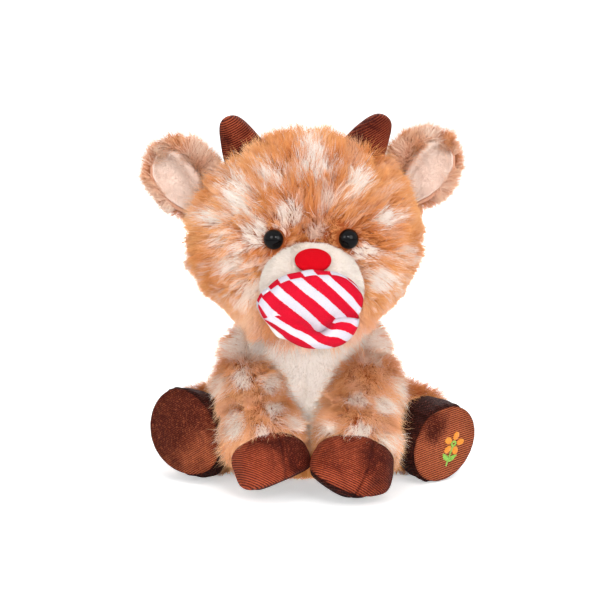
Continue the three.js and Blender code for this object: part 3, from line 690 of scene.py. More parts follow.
def grow(coat, roots, normals, flow, length=None):
    """Strands from roots: they rise from the cloth and bend over along its flow, and a few stray."""
    count = len(roots)
    swirl = np.stack([drift(roots + 50 * axis, 16) for axis in range(3)], axis=1)
    curl = np.stack([drift(roots + 70 * axis, 6) for axis in range(3)], axis=1)
    flow = tangent(flow + 0.4 * swirl + 0.4 * curl, normals)
    stand = math.radians(coat.ruffle) * drift(roots + 90, 7)[:, None]
    length = coat.length if length is None else length
    length = length * (1 + 0.1 * drift(roots, 9)) * random.uniform(0.72, 1.14, count)
    stray = random.random(count) < STRAY_SHARE
    length = np.where(stray, 1.2, 1.0) * length
    strands = np.empty((count, STRAND_STEPS, 3))
    strands[:, 0] = roots
    wild = random.normal(size=(count, 3)) * coat.frizz * np.where(stray, 1.8, 1.0)[:, None]
    for step in range(1, STRAND_STEPS):
        share = (step - 0.5) / (STRAND_STEPS - 1)
        angle = math.radians(coat.lean[0] + (coat.lean[1] - coat.lean[0]) * share)
        heading = normals * np.cos(angle + stand) + flow * np.sin(angle + stand) + wild * (0.5 + share)
        sway = random.normal(size=(count, 3)) * coat.frizz * 0.6
        heading = unit(heading + sway + DOWN * coat.droop * share)
        strands[:, step] = strands[:, step - 1] + heading * (length / (STRAND_STEPS - 1))[:, None]
    # Tufts first, then clumps in them; stray strands stay mostly as they grew
    loose = strands.copy()
    strands, _ = gather(strands, coat.tuft, coat.pulls[0], 1.4)
    strands, clumps = gather(strands, coat.clump, coat.pulls[1], 1.25)
    strands[stray] = 0.3 * strands[stray] + 0.7 * loose[stray]
    return strands, clumps


def fur_piece(name, strands, normals, body, finish, spot=0, tone=0, wide=1.0):
    """Strands as one mesh of ribbons that face outwards, each in its own column of the baked picture."""
    count = len(strands)
    spot, tone = (np.clip(np.broadcast_to(values, count), 0, 1) for values in (spot, tone))
    heading = unit(strands[:, -1] - strands[:, 0])
    side = unit(np.cross(heading, normals) + 1e-6)
    roll = random.uniform(-0.6, 0.6, (count, 1))
    side = unit(side * np.cos(roll) + np.cross(heading, side) * np.sin(roll))
    half = side[:, None, :] * (STRAND_WIDTHS * wide / 2)[None, :, None]
    half = half * random.uniform(0.75, 1.25, (count, 1, 1))
    left, right = strands - half, strands + half
    ribbons = np.stack([left[:, :-1], right[:, :-1]], axis=2).reshape(count, -1, 3)
    points = np.concatenate([ribbons, strands[:, -1:]], axis=1)
    points[..., 2] = np.maximum(points[..., 2], REST_CLEARANCE)
    per = points.shape[1]
    quads = [[2 * step, 2 * step + 1, 2 * step + 3, 2 * step + 2] for step in range(STRAND_STEPS - 2)]
    pattern = np.array(sum(quads, []) + [per - 3, per - 2, per - 1])
    sizes = [4] * len(quads) + [3]
    each = np.arange(count)[:, None]
    corners = (pattern[None, :] + per * each).ravel()
    starts = (np.cumsum([0] + sizes[:-1])[None, :] + len(pattern) * each).ravel()
    mesh = bpy.data.meshes.new(name)
    mesh.vertices.add(count * per)
    mesh.vertices.foreach_set("co", (points * MM).astype(np.float32).ravel())
    mesh.loops.add(len(corners))
    mesh.loops.foreach_set("vertex_index", corners.astype(np.int32))
    mesh.polygons.add(len(starts))
    mesh.polygons.foreach_set("loop_start", starts.astype(np.int32))
    mesh.polygons.foreach_set("use_smooth", np.ones(len(starts), bool))
    along = np.append(np.repeat(STRAND_ALONG[:-1], 2), 1.0)
    values = {"along": np.tile(along, count), "spot": np.repeat(spot, per), "tone": np.repeat(tone, per)}
    add_values(mesh, values)
    spot_bin = np.minimum((spot * SPOT_BINS).astype(int), SPOT_BINS - 1)
    tone_bin = np.minimum((tone * TONE_BINS).astype(int), TONE_BINS - 1)
    column = spot_bin * TONE_BINS + tone_bin
    sideways = np.append(np.tile([0.15, 0.85], STRAND_STEPS - 1), 0.5)
    u = (column[:, None] + sideways[None, :]) / (SPOT_BINS * TONE_BINS)
    v = np.tile(0.03 + 0.94 * along, (count, 1))
    corner_uv = np.stack([u, v], axis=-1)[:, pattern].reshape(-1, 2)
    mesh.uv_layers.new(name="OFBake").data.foreach_set("uv", corner_uv.astype(np.float32).ravel())
    mesh.update(calc_edges=True)
    dress(name, mesh, finish, body)


def fur_bands(names, depth, strands, normals, body, spot, tone):
    """A coat of fur in even bands from front to back."""
    for name, band in zip(names, np.array_split(np.argsort(depth), len(names))):
        fur_piece(name, strands[band], normals[band], body, FUR, spot[band], tone[band])


def pale_spots(strands, clumps, spots, front):
    """How pale strands are: the photograph's spots in front, and even ones behind, with ragged edges."""
    count = len(strands)
    roots = strands[clumps, 0]
    drawn_out = (0.28 * random.normal(size=count))[clumps] + 0.15 * random.normal(size=count)
    points = strands[:, 2] + (strands[:, 3] - strands[:, 0]) * drawn_out[:, None]
    x, y = photo_pixels(points)
    ragged = 1 + 0.22 * drift(roots, 5) + 0.12 * random.normal(size=count)
    pale = np.zeros(count)
    for middle_x, middle_y, half_x, half_y, strength in spots:
        away = np.hypot((x - middle_x) / half_x, (y - middle_y) / half_y) * ragged
        pale = np.maximum(pale, strength * rise(away, 1.22, 0.82))
    behind = np.zeros(count)
    for middle, radius in BACK_SPOTS:
        away = np.linalg.norm(points - middle, axis=1) / radius * ragged
        behind = np.maximum(behind, rise(away, 1.2, 0.8))
    return np.where(front, pale, behind)


# Torso, as a turned barrel: shares of its half width and of its height
BARREL = [
    (0.0, 0.0), (0.42, 0.0), (0.74, 0.04), (0.93, 0.15), (1.0, 0.35), (1.0, 0.6),
    (0.99, 0.76), (0.92, 0.89), (0.74, 0.97), (0.42, 1.0), (0.0, 1.0),
]
BARREL_LINE = smooth(BARREL, 60)


def torso_radius(height, depth):
    """The torso's half width at a height, under fur of that depth."""
    share = np.clip((height - depth) / (TORSO_TOP - 1.4 * depth), 0, 1)
    return np.interp(share, BARREL_LINE[6:-6, 1], BARREL_LINE[6:-6, 0]) * (TORSO_HALF[0] - depth)


def torso_front(x, height, depth):
    """How far forward the torso's cloth is at x and a height."""
    radius = torso_radius(height, depth)
    share = np.sqrt(np.clip(1 - (x / radius) ** 2, 0, 1))
    return TORSO_SET_BACK - share * radius * (TORSO_HALF[1] - depth) / (TORSO_HALF[0] - depth)


def belly_half(height):
    """Half the belly's width at a height."""
    share = (height - BELLY_BOTTOM) / (BELLY_TOP - BELLY_BOTTOM)
    return BELLY_WIDTH * np.interp(share, [0, 0.3, 0.62, 1], [0.16, 0.36, 0.5, 0.5])


def back_spots():
    """The spots that the photograph doesn't show, spread evenly over back and sides: middle, radius."""
    spread = np.random.default_rng(11)
    tries = spread.uniform((-75, -10, 5), (75, 75, 200), (4000, 3))
    head = np.linalg.norm((tries - HEAD_CENTRE) / HEAD_HALF, axis=1)
    y = (tries[:, 1] - TORSO_SET_BACK) * TORSO_HALF[0] / TORSO_HALF[1]
    torso = np.hypot(tries[:, 0], y) / np.maximum(torso_radius(tries[:, 2], 0), 1)
    near = (abs(head - 0.97) < 0.06) | ((abs(torso - 0.97) < 0.08) & (tries[:, 2] < 80))
    kept = []
    for place in tries[near]:
        if all(np.linalg.norm(place - other) > 25 for other, _ in kept):
            kept.append((place, spread.uniform(6.0, 9.5)))
    return kept


BACK_SPOTS = back_spots()


# Head and its parts
def eye_place(sign):
    """The frame of an eye: on the head's cloth, looking out of it."""
    x = sign * EYE_X
    share = math.sqrt(1 - (x / HEAD_HALF[0]) ** 2 - (EYE_LIFT / HEAD_HALF[2]) ** 2)
    offset = np.array([x, -HEAD_HALF[1] * share, EYE_LIFT])
    aim = unit(offset / HEAD_HALF**2)
    return HEAD.inner(HEAD_CENTRE + offset - aim * EYE_SUNK, aim, UP)


def leaning_place(side, sign, x, set_back, lift, lean):
    """The frame of a horn or ear, which leans outwards from the head."""
    angle = math.radians(lean[side])
    origin = HEAD_CENTRE + (sign * x[side], set_back, lift[side])
    return HEAD.inner(origin, (sign * math.sin(angle), 0, math.cos(angle)))


HORN_SET = (HORN_X, HORN_SET_BACK, HORN_LIFT, HORN_LEAN)
EAR_SET = (EAR_X, EAR_SET_BACK, EAR_LIFT, EAR_LEAN)
EYES = {side: eye_place(sign) for side, sign in SIDES}
HORNS = {side: leaning_place(side, sign, *HORN_SET) for side, sign in SIDES}
EARS = {side: leaning_place(side, sign, *EAR_SET) for side, sign in SIDES}

# A horn's radius at heights over its root: height, radius
HORN_LINE = [
    (-6.0, 13.4), (3.0, 13.4), (11.0, 12.9), (20.0, 11.2), (27.0, 9.0), (32.0, 7.0), (35.2, 4.8),
    (36.6, 2.4), (37.0, 0.0),
]

# How far behind its own middle an eye or a horn still parts the fur
EYE_DEPTH = 15.0
HORN_DEPTH = 30.0
EYE_CLEARANCE = np.array([EYE_RADIUS + 0.7, EYE_RADIUS + 0.7, EYE_CROWN + 2.5])


def clear_of_ellipsoid(strands, place, centre, half):
    """Moves strand points that are inside an ellipsoid out to its surface."""
    half = half + STRAND_ROOM
    local = (place.into(strands) - centre) / half
    far = np.linalg.norm(local, axis=-1, keepdims=True)
    moved = place.out(local / np.maximum(far, 1e-6) * half + centre)
    return np.where(far < 1, moved, strands)


def clear_of_horn(strands, place):
    """Moves strand points that are inside a horn out to its side."""
    local = place.into(strands)
    radius = np.interp(local[..., 2], *np.array(HORN_LINE).T) + STRAND_ROOM
    far = off_axis(local)
    inside = (far < radius) & (local[..., 2] < HORN_LENGTH)
    scale = np.where(inside, radius / np.maximum(far, 0.1), 1.0)
    local[..., :2] = local[..., :2] * scale[..., None]
    return place.out(local)


def make_head():
    """The head: cloth under the fur, and the fur in four bands from face to back."""
    skin = Cloth(HEAD.out(ellipsoid(HEAD_CENTRE, HEAD_HALF - HEAD_FUR_DEPTH)))
    cloth_piece("head_cloth", skin, FUR, "head", "head_cover", 0.9, **UNDER_FUR)
    roots, normals = skin.scatter(HEAD_COAT.density)
    local = HEAD.into(roots)
    muzzle = np.linalg.norm((local - MUZZLE_CENTRE) / MUZZLE_HALF, axis=1)
    keep = (muzzle > 1) & (np.linalg.norm(roots - (0, 0, NECK_HEIGHT), axis=1) > NECK_OPENING)
    for side, _ in SIDES:
        eye, horn, ear = (frames[side].into(roots) for frames in (EYES, HORNS, EARS))
        keep &= (off_axis(eye) > EYE_RADIUS + 0.2) | (eye[:, 2] < -EYE_DEPTH)
        keep &= (off_axis(horn) > HORN_OPENING) | (horn[:, 2] < -HORN_DEPTH)
        keep &= np.linalg.norm(ear, axis=1) > EAR_OPENING
    roots, normals, local, muzzle = (values[keep] for values in (roots, normals, local, muzzle))

    # Away from the middle of the face, downwards at the back, and away from eyes and horns near them
    backness = rise(local[:, 1], -20, 40)[:, None]
    away = unit(HEAD.turn(local - FACE_MIDDLE))
    flow = tangent(away * (1 - 0.75 * backness) + DOWN * (0.15 + 0.75 * backness), normals)
    length = np.full(len(roots), HEAD_COAT.length)
    for side, _ in SIDES:
        eye, horn = EYES[side].into(roots), HORNS[side].into(roots)
        near = rise(off_axis(eye), 17, 6) * (np.abs(eye[:, 2] + 10) < 16)
        length *= 1 - 0.7 * near
        near = near[:, None]
        flow = tangent(flow * (1 - near) + unit(roots - EYES[side].origin) * near * 1.2, normals)
        spread = (rise(off_axis(horn), 24, 14) * (horn[:, 2] > -HORN_DEPTH))[:, None]
        flow = tangent(flow + unit(HORNS[side].turn(horn * (1, 1, 0))) * spread * 0.9, normals)
    # Shorter at the muzzle, on the low cheeks and far out on the left, and longer under the chin
    x, height = local[:, 0], local[:, 2]
    length *= 1 - 0.5 * rise(muzzle, 1.55, 1.05)
    length *= 1 + 0.3 * rise(height, 98, 84) * (np.abs(x) < 25)
    length *= 1 - 0.42 * rise(height, 122, 100) * rise(np.abs(x), 24, 38)
    length *= 1 - 0.35 * rise(x, 38, 52)
    strands, clumps = grow(HEAD_COAT, roots, normals, flow, length)
    for side, _ in SIDES:
        strands = clear_of_horn(strands, HORNS[side])
        strands[:, 1:] = clear_of_ellipsoid(strands[:, 1:], EYES[side], 0, EYE_CLEARANCE)
    strands[:, 1:] = clear_of_ellipsoid(strands[:, 1:], HEAD, MUZZLE_CENTRE, MUZZLE_HALF - 0.5)

    # Paler under the head and in streaks, and rust on the forehead
    seen = strands[:, 2]
    spot = pale_spots(strands, clumps, FACE_SPOTS, HEAD.into(seen)[:, 1] < 12)
    spot = np.maximum(spot, 0.45 * rise(seen[:, 2], 104, 82) * (0.7 + 0.5 * drift(roots, 12)))
    streaks = drift(strands[clumps, 0], 8) + 0.5 * random.normal(size=len(roots))[clumps]
    streaks = np.clip(streaks - 0.35, 0, 0.5) * np.clip((150 - height) / 30, 0.35, 1)
    forehead = bell(x - 2, 20) * bell(height - 158, 22)
    tone = 0.5 + 0.36 * drift(roots, 20) + 0.45 * forehead + 0.16 * random.normal(size=len(roots))
    tone = (tone[clumps] + tone) / 2
    names = ("head_fur_face", "head_fur_cheeks", "head_fur_crown", "head_fur_nape")
    fur_bands(names, local[:, 1], strands, normals, "head", np.maximum(spot, streaks), tone)


def make_muzzle():
    """The muzzle: a cream plush bulb with a seam below the nose, and its short pile."""
    grid = ellipsoid(MUZZLE_CENTRE, MUZZLE_HALF - SHORT_PILE * 0.8, 48, 72)
    seam = MUZZLE_SEAM_DEPTH * bell(grid[..., 0], MUZZLE_SEAM_WIDTH)
    seam *= grid[..., 2] < MUZZLE_CENTRE[2] + 8
    grid[..., 1] += np.where(grid[..., 1] < MUZZLE_CENTRE[1], seam, 0)
    skin = Cloth(HEAD.out(grid))
    cloth_piece("muzzle", skin, CREAM, "head", "muzzle_cover", 0.85, along=0)
    roots, normals = skin.scatter(MUZZLE_PILE.density)
    local = HEAD.into(roots)
    in_head = np.linalg.norm((local - HEAD_CENTRE) / (HEAD_HALF - 6), axis=1) <= 1
    keep = (local[:, 1] < MUZZLE_CENTRE[1] + 9) & ~in_head
    roots, normals, local = roots[keep], normals[keep], local[keep]
    flow = tangent(HEAD.turn((local - MUZZLE_CENTRE) * (1, 0, 1)) + DOWN * 10, normals)
    strands, _ = grow(MUZZLE_PILE, roots, normals, flow)
    fur_piece("muzzle_pile", strands, normals, "head", CREAM)


def make_nose():
    """The felt nose: a soft-edged oval pad."""
    share = math.sqrt(1 - (NOSE_LIFT / MUZZLE_HALF[2]) ** 2)
    origin = MUZZLE_CENTRE + (0, -MUZZLE_HALF[1] * share, NOSE_LIFT)
    place = HEAD.inner(origin, (0, -math.cos(NOSE_TILT), math.sin(NOSE_TILT)), UP)
    profile = [
        (0, -1.6), (0.5, -1.6), (0.86, -1.3), (0.97, -0.6), (1.0, 0.3), (0.985, 1.0), (0.92, 1.6),
        (0.8, 2.1), (0.6, 2.5), (0.35, 2.75), (0.12, 2.85), (0, 2.86),
    ]
    pad = lathe(smooth(profile, 26), 64)
    pad[..., 0] *= NOSE_HALF[0] * (1 + 0.012 * np.sin(3 * np.arctan2(pad[..., 1], pad[..., 0])))
    pad[..., 1] *= NOSE_HALF[1]
    cloth_piece("nose", Cloth(place.out(pad)), FELT, "head", "nose_pad")


def make_eyes():
    """The eyes: a glossy dome on a stem, and the washer behind it as the CAD has it."""
    angles = np.linspace(-0.12, math.pi / 2, 20)[:-1]
    profile = [(0.0, -EYE_STEM_LENGTH), (EYE_STEM, -EYE_STEM_LENGTH), (EYE_STEM, -0.8)]
    profile.append((EYE_RADIUS - 0.4, -0.7))
    profile += [(EYE_RADIUS * math.cos(angle), EYE_CROWN * math.sin(angle)) for angle in angles]
    profile.append((0.0, EYE_CROWN))
    for side, place in EYES.items():
        dome = Cloth(place.out(lathe(profile, 48)))
        cloth_piece("eye_dome_" + side, dome, EYE_GLOSS, "head", "eye_" + side)
        for material_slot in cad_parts["eye_washer_" + side].material_slots:
            material_slot.material = WASHER.material


def make_horns():
    """The horns: velour stubs, a little bent, with a seam on each side."""
    for side, sign in SIDES:
        horn = lathe(np.maximum(smooth(HORN_LINE, 40)[:, ::-1], (0, -np.inf)), 64)
        round_ = np.arctan2(horn[..., 1], horn[..., 0])
        dent = 1 - 0.05 * bell(np.sin(round_), 0.09) + 0.02 * np.sin(5 * round_ + horn[..., 2] * 0.2)
        horn[..., :2] *= dent[..., None]
        lift = rise(horn[..., 2], 0, HORN_LENGTH)
        horn[..., 0] += sign * (1.6 * lift**2 - 1.2 * lift)
        # Painted light and shade: the left horn lighter towards one side, and each horn a little darker at
        # its tip
        lay = 0.44 + 0.03 * np.maximum(horn[..., 0] * (sign + 1) / 2, -6) - 0.012 * (lift > 0.8)
        cloth = Cloth(HORNS[side].out(horn))
        cloth_piece("horn_stub_" + side, cloth, HORN_VELOUR, "head", "horn_" + side, 0.9, lay=lay)


# Sections of the ear, from its outer rim inwards: sideways and back from its middle line
EAR_LINING_SECTION = [
    (11.8, -3.4), (9.4, -1.2), (5.0, 1.2), (0.5, 2.0), (-2.6, 1.0), (-4.6, -1.6), (-5.6, -4.6),
    (-7.0, -6.6), (-9.2, -6.8), (-10.6, -4.8),
]
EAR_BACK_SECTION = [
    (12.2, -2.4), (13.8, -3.2), (14.8, -0.5), (12.0, 3.6), (5.0, 5.4), (-4.0, 5.8), (-12.0, 4.2),
    (-17.0, 0.6), (-18.0, -3.2), (-16.0, -6.6), (-13.2, -5.6), (-10.6, -3.0), (-8.6, 0.6),
    (-5.0, 3.2), (0.0, 3.8), (6.0, 2.4), (12.2, -2.4),
]
# Shares of the way from root to tip, and of the ear's full width there
EAR_STEPS = [0.0, 0.08, 0.2, 0.4, 0.6, 0.78, 0.9, 0.97, 1.0]
EAR_WIDTHS = [0.42, 0.56, 0.76, 0.96, 1.0, 0.9, 0.66, 0.38, 0.1]


def ear_sheet(section, sign, rows, columns, start, length):
    """A cloth of the ear: its section swept from root to tip, narrow at the root and round at the tip."""
    line = smooth(section, columns)
    along = np.linspace(0, 1, rows)[:, None]
    width = np.interp(along, EAR_STEPS, EAR_WIDTHS)
    x = sign * line[None, :, 0] * width
    y = line[None, :, 1] * (0.35 + 0.65 * width) + 1.6 * (along - 0.5) ** 2
    return np.stack([x, y, start + along * length + 0 * x], axis=-1)


def make_ears():
    """The ears: cupped plush linings whose inner lip rolls over, with a fur back around them."""
    for side, sign in SIDES:
        make_ear_lining(side, sign, EARS[side])
        make_ear_back(side, sign, EARS[side])


def make_ear_lining(side, sign, place):
    """An ear's plush lining, with a thickness of its own, and its pile."""
    body = "ear_" + side
    sheet = ear_sheet(EAR_LINING_SECTION, sign, 44, 48, EAR_LINING_ROOT, EAR_LINING_LENGTH)
    sheet[..., 1] += 0.25 * drift(sheet + 9 * sign, 9)
    lining = Cloth(place.out(sheet), wraps=False)
    lining.face(place.turn(-BACK))
    name = "ear_lining_cloth_" + side
    piece = cloth_piece(name, lining, EAR_PLUSH, body, "ear_lining_" + side, along=0)
    thicken(piece, EAR_LINING_THICKNESS)
    roots, normals = lining.scatter(EAR_PILE.density)
    flow = tangent(place.turn(np.array([0.0, -0.3, 1.0])) * np.ones_like(roots), normals)
    pile, _ = grow(EAR_PILE, roots, normals, flow)
    fur_piece("ear_lining_pile_" + side, pile, normals, body, EAR_PLUSH, wide=0.7)


def make_ear_back(side, sign, place):
    """An ear's cloth, and fur wherever the lining doesn't cover it: pale at the root, tan behind."""
    body = "ear_" + side
    sheet = ear_sheet(EAR_BACK_SECTION, sign, 40, 80, EAR_BACK_ROOT, EAR_BACK_LENGTH)
    shell = Cloth(place.out(sheet), wraps=False)
    shell.face(shell.points - place.out(np.array([0.0, 1.5, 20.0])))
    name = "ear_cloth_" + side
    cloth_piece(name, shell, FUR, body, "ear_back_" + side, 0.4, spot=0.3, tone=0.8, along=0.1)
    roots, normals = shell.scatter(EAR_COAT.density)
    local = place.into(roots)
    outwards, height = sign * local[:, 0], local[:, 2]
    under = (outwards > -10.5) & (outwards < 11.5) & (normals @ place.turn(-BACK) > -0.1)
    keep = ~(under & (height > 4) & (height < 37)) & (height > 1.5)
    roots, normals, local, outwards, height = (
        values[keep] for values in (roots, normals, local, outwards, height)
    )
    away = place.turn((local - (-sign, 0, 14)) * (1, 0, 1))
    flow = tangent(away + 0.2 * place.turn(-BACK), normals)
    length = EAR_COAT.length - 2.4 * rise(outwards, 0, 14)
    strands, _ = grow(EAR_COAT, roots, normals, flow, length)
    spot = 0.42 + 0.3 * drift(roots, 10) + 0.35 * rise(height, 9, 0)
    behind = np.clip(normals @ place.turn(BACK) * 2 + 0.2, 0, 1)
    spot = np.maximum(spot, rise(outwards, 9, 14) * 0.3) * (1 - 0.85 * behind)
    tone = 0.35 * behind - 0.02 + 0.25 * drift(roots, 12) + 0.15 * random.normal(size=len(roots))
    fur_piece("ear_fur_" + side, strands, normals, body, FUR, spot, tone)


def thicken(piece, thickness):
    """Gives a sheet of cloth its thickness, behind its face."""
    solid = piece.modifiers.new("thickness", "SOLIDIFY")
    solid.thickness = thickness * MM
    solid.offset = -1
    bake_modifiers(piece)


def bake_modifiers(piece):
    """Makes what a piece's modifiers show its own mesh."""
    bpy.context.view_layer.update()
    depsgraph = bpy.context.evaluated_depsgraph_get()
    baked = bpy.data.meshes.new_from_object(piece.evaluated_get(depsgraph))
    piece.modifiers.clear()
    piece.data = baked


def make_torso():
    """The torso: cloth sunk in where the belly lies over it, and the fur of back and sides."""
    half = np.array(TORSO_HALF) - BODY_FUR_DEPTH
    line = BARREL_LINE * (half[0], TORSO_TOP - 2 * BODY_FUR_DEPTH) + (0, BODY_FUR_DEPTH * 0.35)
    grid = lathe(np.minimum(line, (np.inf, TORSO_CLOTH_TOP)), 72)
    grid[..., 1] = grid[..., 1] * half[1] / half[0] + TORSO_SET_BACK
    grid[..., 2] = np.maximum(grid[..., 2], REST_CLEARANCE)
    x, y, height = (grid[..., axis] for axis in range(3))
    in_belly = (np.abs(x) < belly_half(height) + 1) & (y < TORSO_SET_BACK - 8)
    grid[..., 1] += np.where(in_belly & (height > BELLY_BOTTOM), BELLY_INSET, 0.0)
    skin = Cloth(grid)
    cloth_piece("torso_cloth", skin, FUR, "torso", "torso_cover", 0.8, **UNDER_FUR)
    roots, normals = skin.scatter(TORSO_COAT.density)
    x, y, height = roots.T
    in_belly = (np.abs(x) < belly_half(height) - 1.5) & (y < TORSO_SET_BACK)
    in_belly &= (height > BELLY_BOTTOM) & (height < BELLY_TOP)
    keep = ~in_belly & (height > 1.5)
    roots, normals = roots[keep], normals[keep]
    high = rise(roots[:, 2], 50, 72)[:, None]
    flow = tangent(DOWN * (1 - 1.5 * high) + (0.5 + high) * unit(roots * (1, 1, 0)) + 1e-3, normals)
    length = TORSO_COAT.length + 1.5 * high[:, 0]
    strands, clumps = grow(TORSO_COAT, roots, normals, flow, length)
    spot = pale_spots(strands, clumps, BODY_SPOTS, strands[:, 2, 1] < 0)
    tone = 0.45 + 0.3 * drift(roots, 24) + 0.16 * random.normal(size=len(roots))
    names = ("torso_fur_front", "torso_fur_sides", "torso_fur_back")
    fur_bands(names, roots[:, 1], strands, normals, "torso", spot, tone)


def make_belly():
    """The cream belly: two panels that meet in a seam, and their pile."""
    for side, sign in SIDES:
        height = np.linspace(BELLY_BOTTOM - 2, BELLY_TOP, 60)[:, None] * np.ones(26)
        widest = np.minimum(belly_half(height), torso_radius(height, BELLY_DEPTH) * 0.98)
        x = sign * (0.01 + np.linspace(0, 1, 26) * widest)
        y = torso_front(x, height, BELLY_DEPTH)
        y += 0.9 * bell(x, 1.3) + 0.3 * drift(np.stack([x, y, height], axis=-1), 14)
        sheet = Cloth(np.stack([x, y, height], axis=-1), wraps=False)
        roots, normals = sheet.scatter(BELLY_PILE.density)
        sheet.faces = sheet.faces[:, ::sign]
        normals = normals * sign
        cloth_piece("belly_cloth_" + side, sheet, CREAM, "torso", "belly_panel_" + side, 0.8, along=0)
        flow = tangent(DOWN + (0.25 * sign, 0, 0), normals)
        pile, _ = grow(BELLY_PILE, roots, normals, flow)
        fur_piece("belly_pile_" + side, pile, normals, "torso", CREAM)


def sleeve(place, profile, wide):
    """The cloth of a leg under its fur."""
    line = np.maximum(smooth(profile, 40), (0, -np.inf))
    grid = place.out(lathe(line, 48, wide))
    grid[..., 2] = np.maximum(grid[..., 2], SLEEVE_CLEARANCE)
    return Cloth(grid)


def foreleg_place(side, sign):
    """A foreleg's frame, from its shoulder to its toe, and how far off the toe is."""
    shoulder = np.array(SHOULDER) * (sign, 1, 1)
    toe = np.array([sign * FRONT_TOE_X + FRONT_SIDE_SHIFT, -FRONT_TOE_FORWARD[side], TOE_HEIGHT])
    return Place(shoulder, toe - shoulder, UP), float(np.linalg.norm(toe - shoulder))


def make_forelegs():
    """The forelegs: a sleeve of cloth with its fur, and the hoof."""
    for side, sign in SIDES:
        place, reach = foreleg_place(side, sign)
        body = "foreleg_" + side
        cuff = reach - HOOF_BEHIND_TOE
        depth = BODY_FUR_DEPTH
        profile = [(0, -14), (7, -13), (SHOULDER_RADIUS - depth, -3), (LEG_RADIUS - depth, cuff * 0.4)]
        profile += [(CUFF_RADIUS - depth + 1.5, cuff), (CUFF_RADIUS - depth, cuff + 3), (0, cuff + 3.2)]
        skin = sleeve(place, profile, LEG_WIDTH_SHARE)
        name = "foreleg_cloth_" + side
        cloth_piece(name, skin, FUR, body, "foreleg_cover_" + side, 0.8, **UNDER_FUR)
        roots, normals = skin.scatter(FORELEG_COAT.density)
        local = place.into(roots)
        keep = (local[:, 2] < cuff + 1.5) & (local[:, 2] > -14)
        roots, normals, local = roots[keep], normals[keep], local[keep]
        across = place.turn(local * (1, 0, 0)) / LEG_RADIUS
        flow = tangent(place.turn(UP * 0.5) + DOWN * 0.7 + 0.4 * across, normals)
        length = FORELEG_COAT.length * (1 - 0.25 * rise(local[:, 2], cuff - 8, cuff))
        strands, clumps = grow(FORELEG_COAT, roots, normals, flow, length)
        spot = pale_spots(strands, clumps, BODY_SPOTS, strands[:, 2, 1] < 40)
        # Paler and less rust than the torso's fur: painted light that makes up for the shade the forelegs
        # lie in
        spot = np.maximum(spot, 0.12 + 0.08 * drift(roots, 9))
        tone = 0.08 + 0.16 * drift(roots, 18) + 0.12 * random.normal(size=len(roots))
        fur_piece("foreleg_fur_" + side, strands, normals, body, FUR, spot, tone)
        make_front_hoof(side, place, reach)


def cut_apart(points, faces, place, normal):
    """Cloth cut along a plane: its points, and its faces above and below the plane."""
    mesh = bmesh.new()
    corners = [mesh.verts.new(point) for point in points]
    for face in faces:
        mesh.faces.new([corners[corner] for corner in face])
    everything = mesh.verts[:] + mesh.edges[:] + mesh.faces[:]
    bmesh.ops.bisect_plane(mesh, geom=everything, dist=1e-4, plane_co=place, plane_no=normal)
    mesh.verts.index_update()
    cut_points = np.array([corner.co[:] for corner in mesh.verts])
    parts = {True: [], False: []}
    for face in mesh.faces:
        ring = [corner.index for corner in face.verts]
        parts[bool((cut_points[ring].mean(axis=0) - place) @ normal > 0)].append(ring)
    mesh.free()
    return cut_points, parts[True], parts[False]


def sole_heights(points, side):
    """How high the underside of a front hoof is: it curls up at the toe and rises to one side."""
    way, steepness, bend_x, toe_rise = HOOF_SOLES[side]
    curl = toe_rise * np.clip((-points[..., 1] - 50) / 20, 0, 1.3) ** 1.5
    slope = 2 * np.log1p(np.exp(way * (points[..., 0] - bend_x) / 2))
    return REST_CLEARANCE + curl + steepness * slope


def hoof_seam(local, side):
    """1 in the seam up the middle of a front hoof, fading beside it."""
    across, upwards, shift = HOOF_SEAMS[side]
    return bell(local[..., 0] * across + local[..., 1] * upwards - shift, 0.5) * (local[..., 1] > -14)


def front_hoof_shape(side, place, reach):
    """Points of a front hoof: a squarish toe, flat underneath, pulled in at its seams."""
    cuff = reach - HOOF_BEHIND_TOE
    toe = FRONT_HOOF_RADIUS
    line = [(CUFF_RADIUS - 7.0, cuff - 2.0), (CUFF_RADIUS - 2.5, cuff), (CUFF_RADIUS - 0.9, cuff + 3.0)]
    line.append((toe + 0.3, reach - 3.0))
    for angle in np.linspace(0, math.pi / 2, 22)[:-1]:
        line.append((toe * math.cos(angle) ** 0.86, reach + toe * math.sin(angle)))
    line = np.array([*line, (0.0, reach + toe)])
    steps = line_steps(line)
    at = np.linspace(0, steps[-1], 60)
    even = np.stack([np.interp(at, steps, line[:, axis]) for axis in range(2)], axis=1)
    hoof = lathe(even, 88, LEG_WIDTH_SHARE)
    # Squarish from the cuff on, with the seam up its middle pulled in
    round_ = np.arctan2(hoof[..., 1], hoof[..., 0] / LEG_WIDTH_SHARE)
    power = HOOF_SQUARENESS
    square = (np.abs(np.cos(round_)) ** power + np.abs(np.sin(round_)) ** power) ** (-1 / power)
    blend = rise(hoof[..., 2], cuff, cuff + 9)
    hoof[..., :2] *= (1 + (square - 1) * blend)[..., None]
    hoof[..., 0] *= 1 + (HOOF_WIDENED[side] - 1) * blend
    hoof -= unit(hoof - (0, 0, reach - 6)) * (HOOF_SEAM_DEPTH * hoof_seam(hoof, side))[..., None]
    world = place.out(hoof)
    middle = place.out(np.array([0, 0, reach - 4.0]))
    swell = 0.4 * drift(world, 15) + 0.14 * drift(world, 5)
    world += unit(world - middle) * swell[..., None]
    # What is low settles on the sole
    world[..., 2] += HOOF_RAISE * blend
    sole = REST_CLEARANCE + (sole_heights(world, side) - REST_CLEARANCE) * blend
    low = world[..., 2] - sole
    world[..., 2] = sole + np.where(low < 5, 5 * np.exp((low - 5) / 5.5), low)
    welt, upwards = welt_plane(side)
    pulled_in = WELT_DEPTH * bell((world - welt) @ upwards, 0.7)
    return world - unit(world - middle) * pulled_in[..., None]


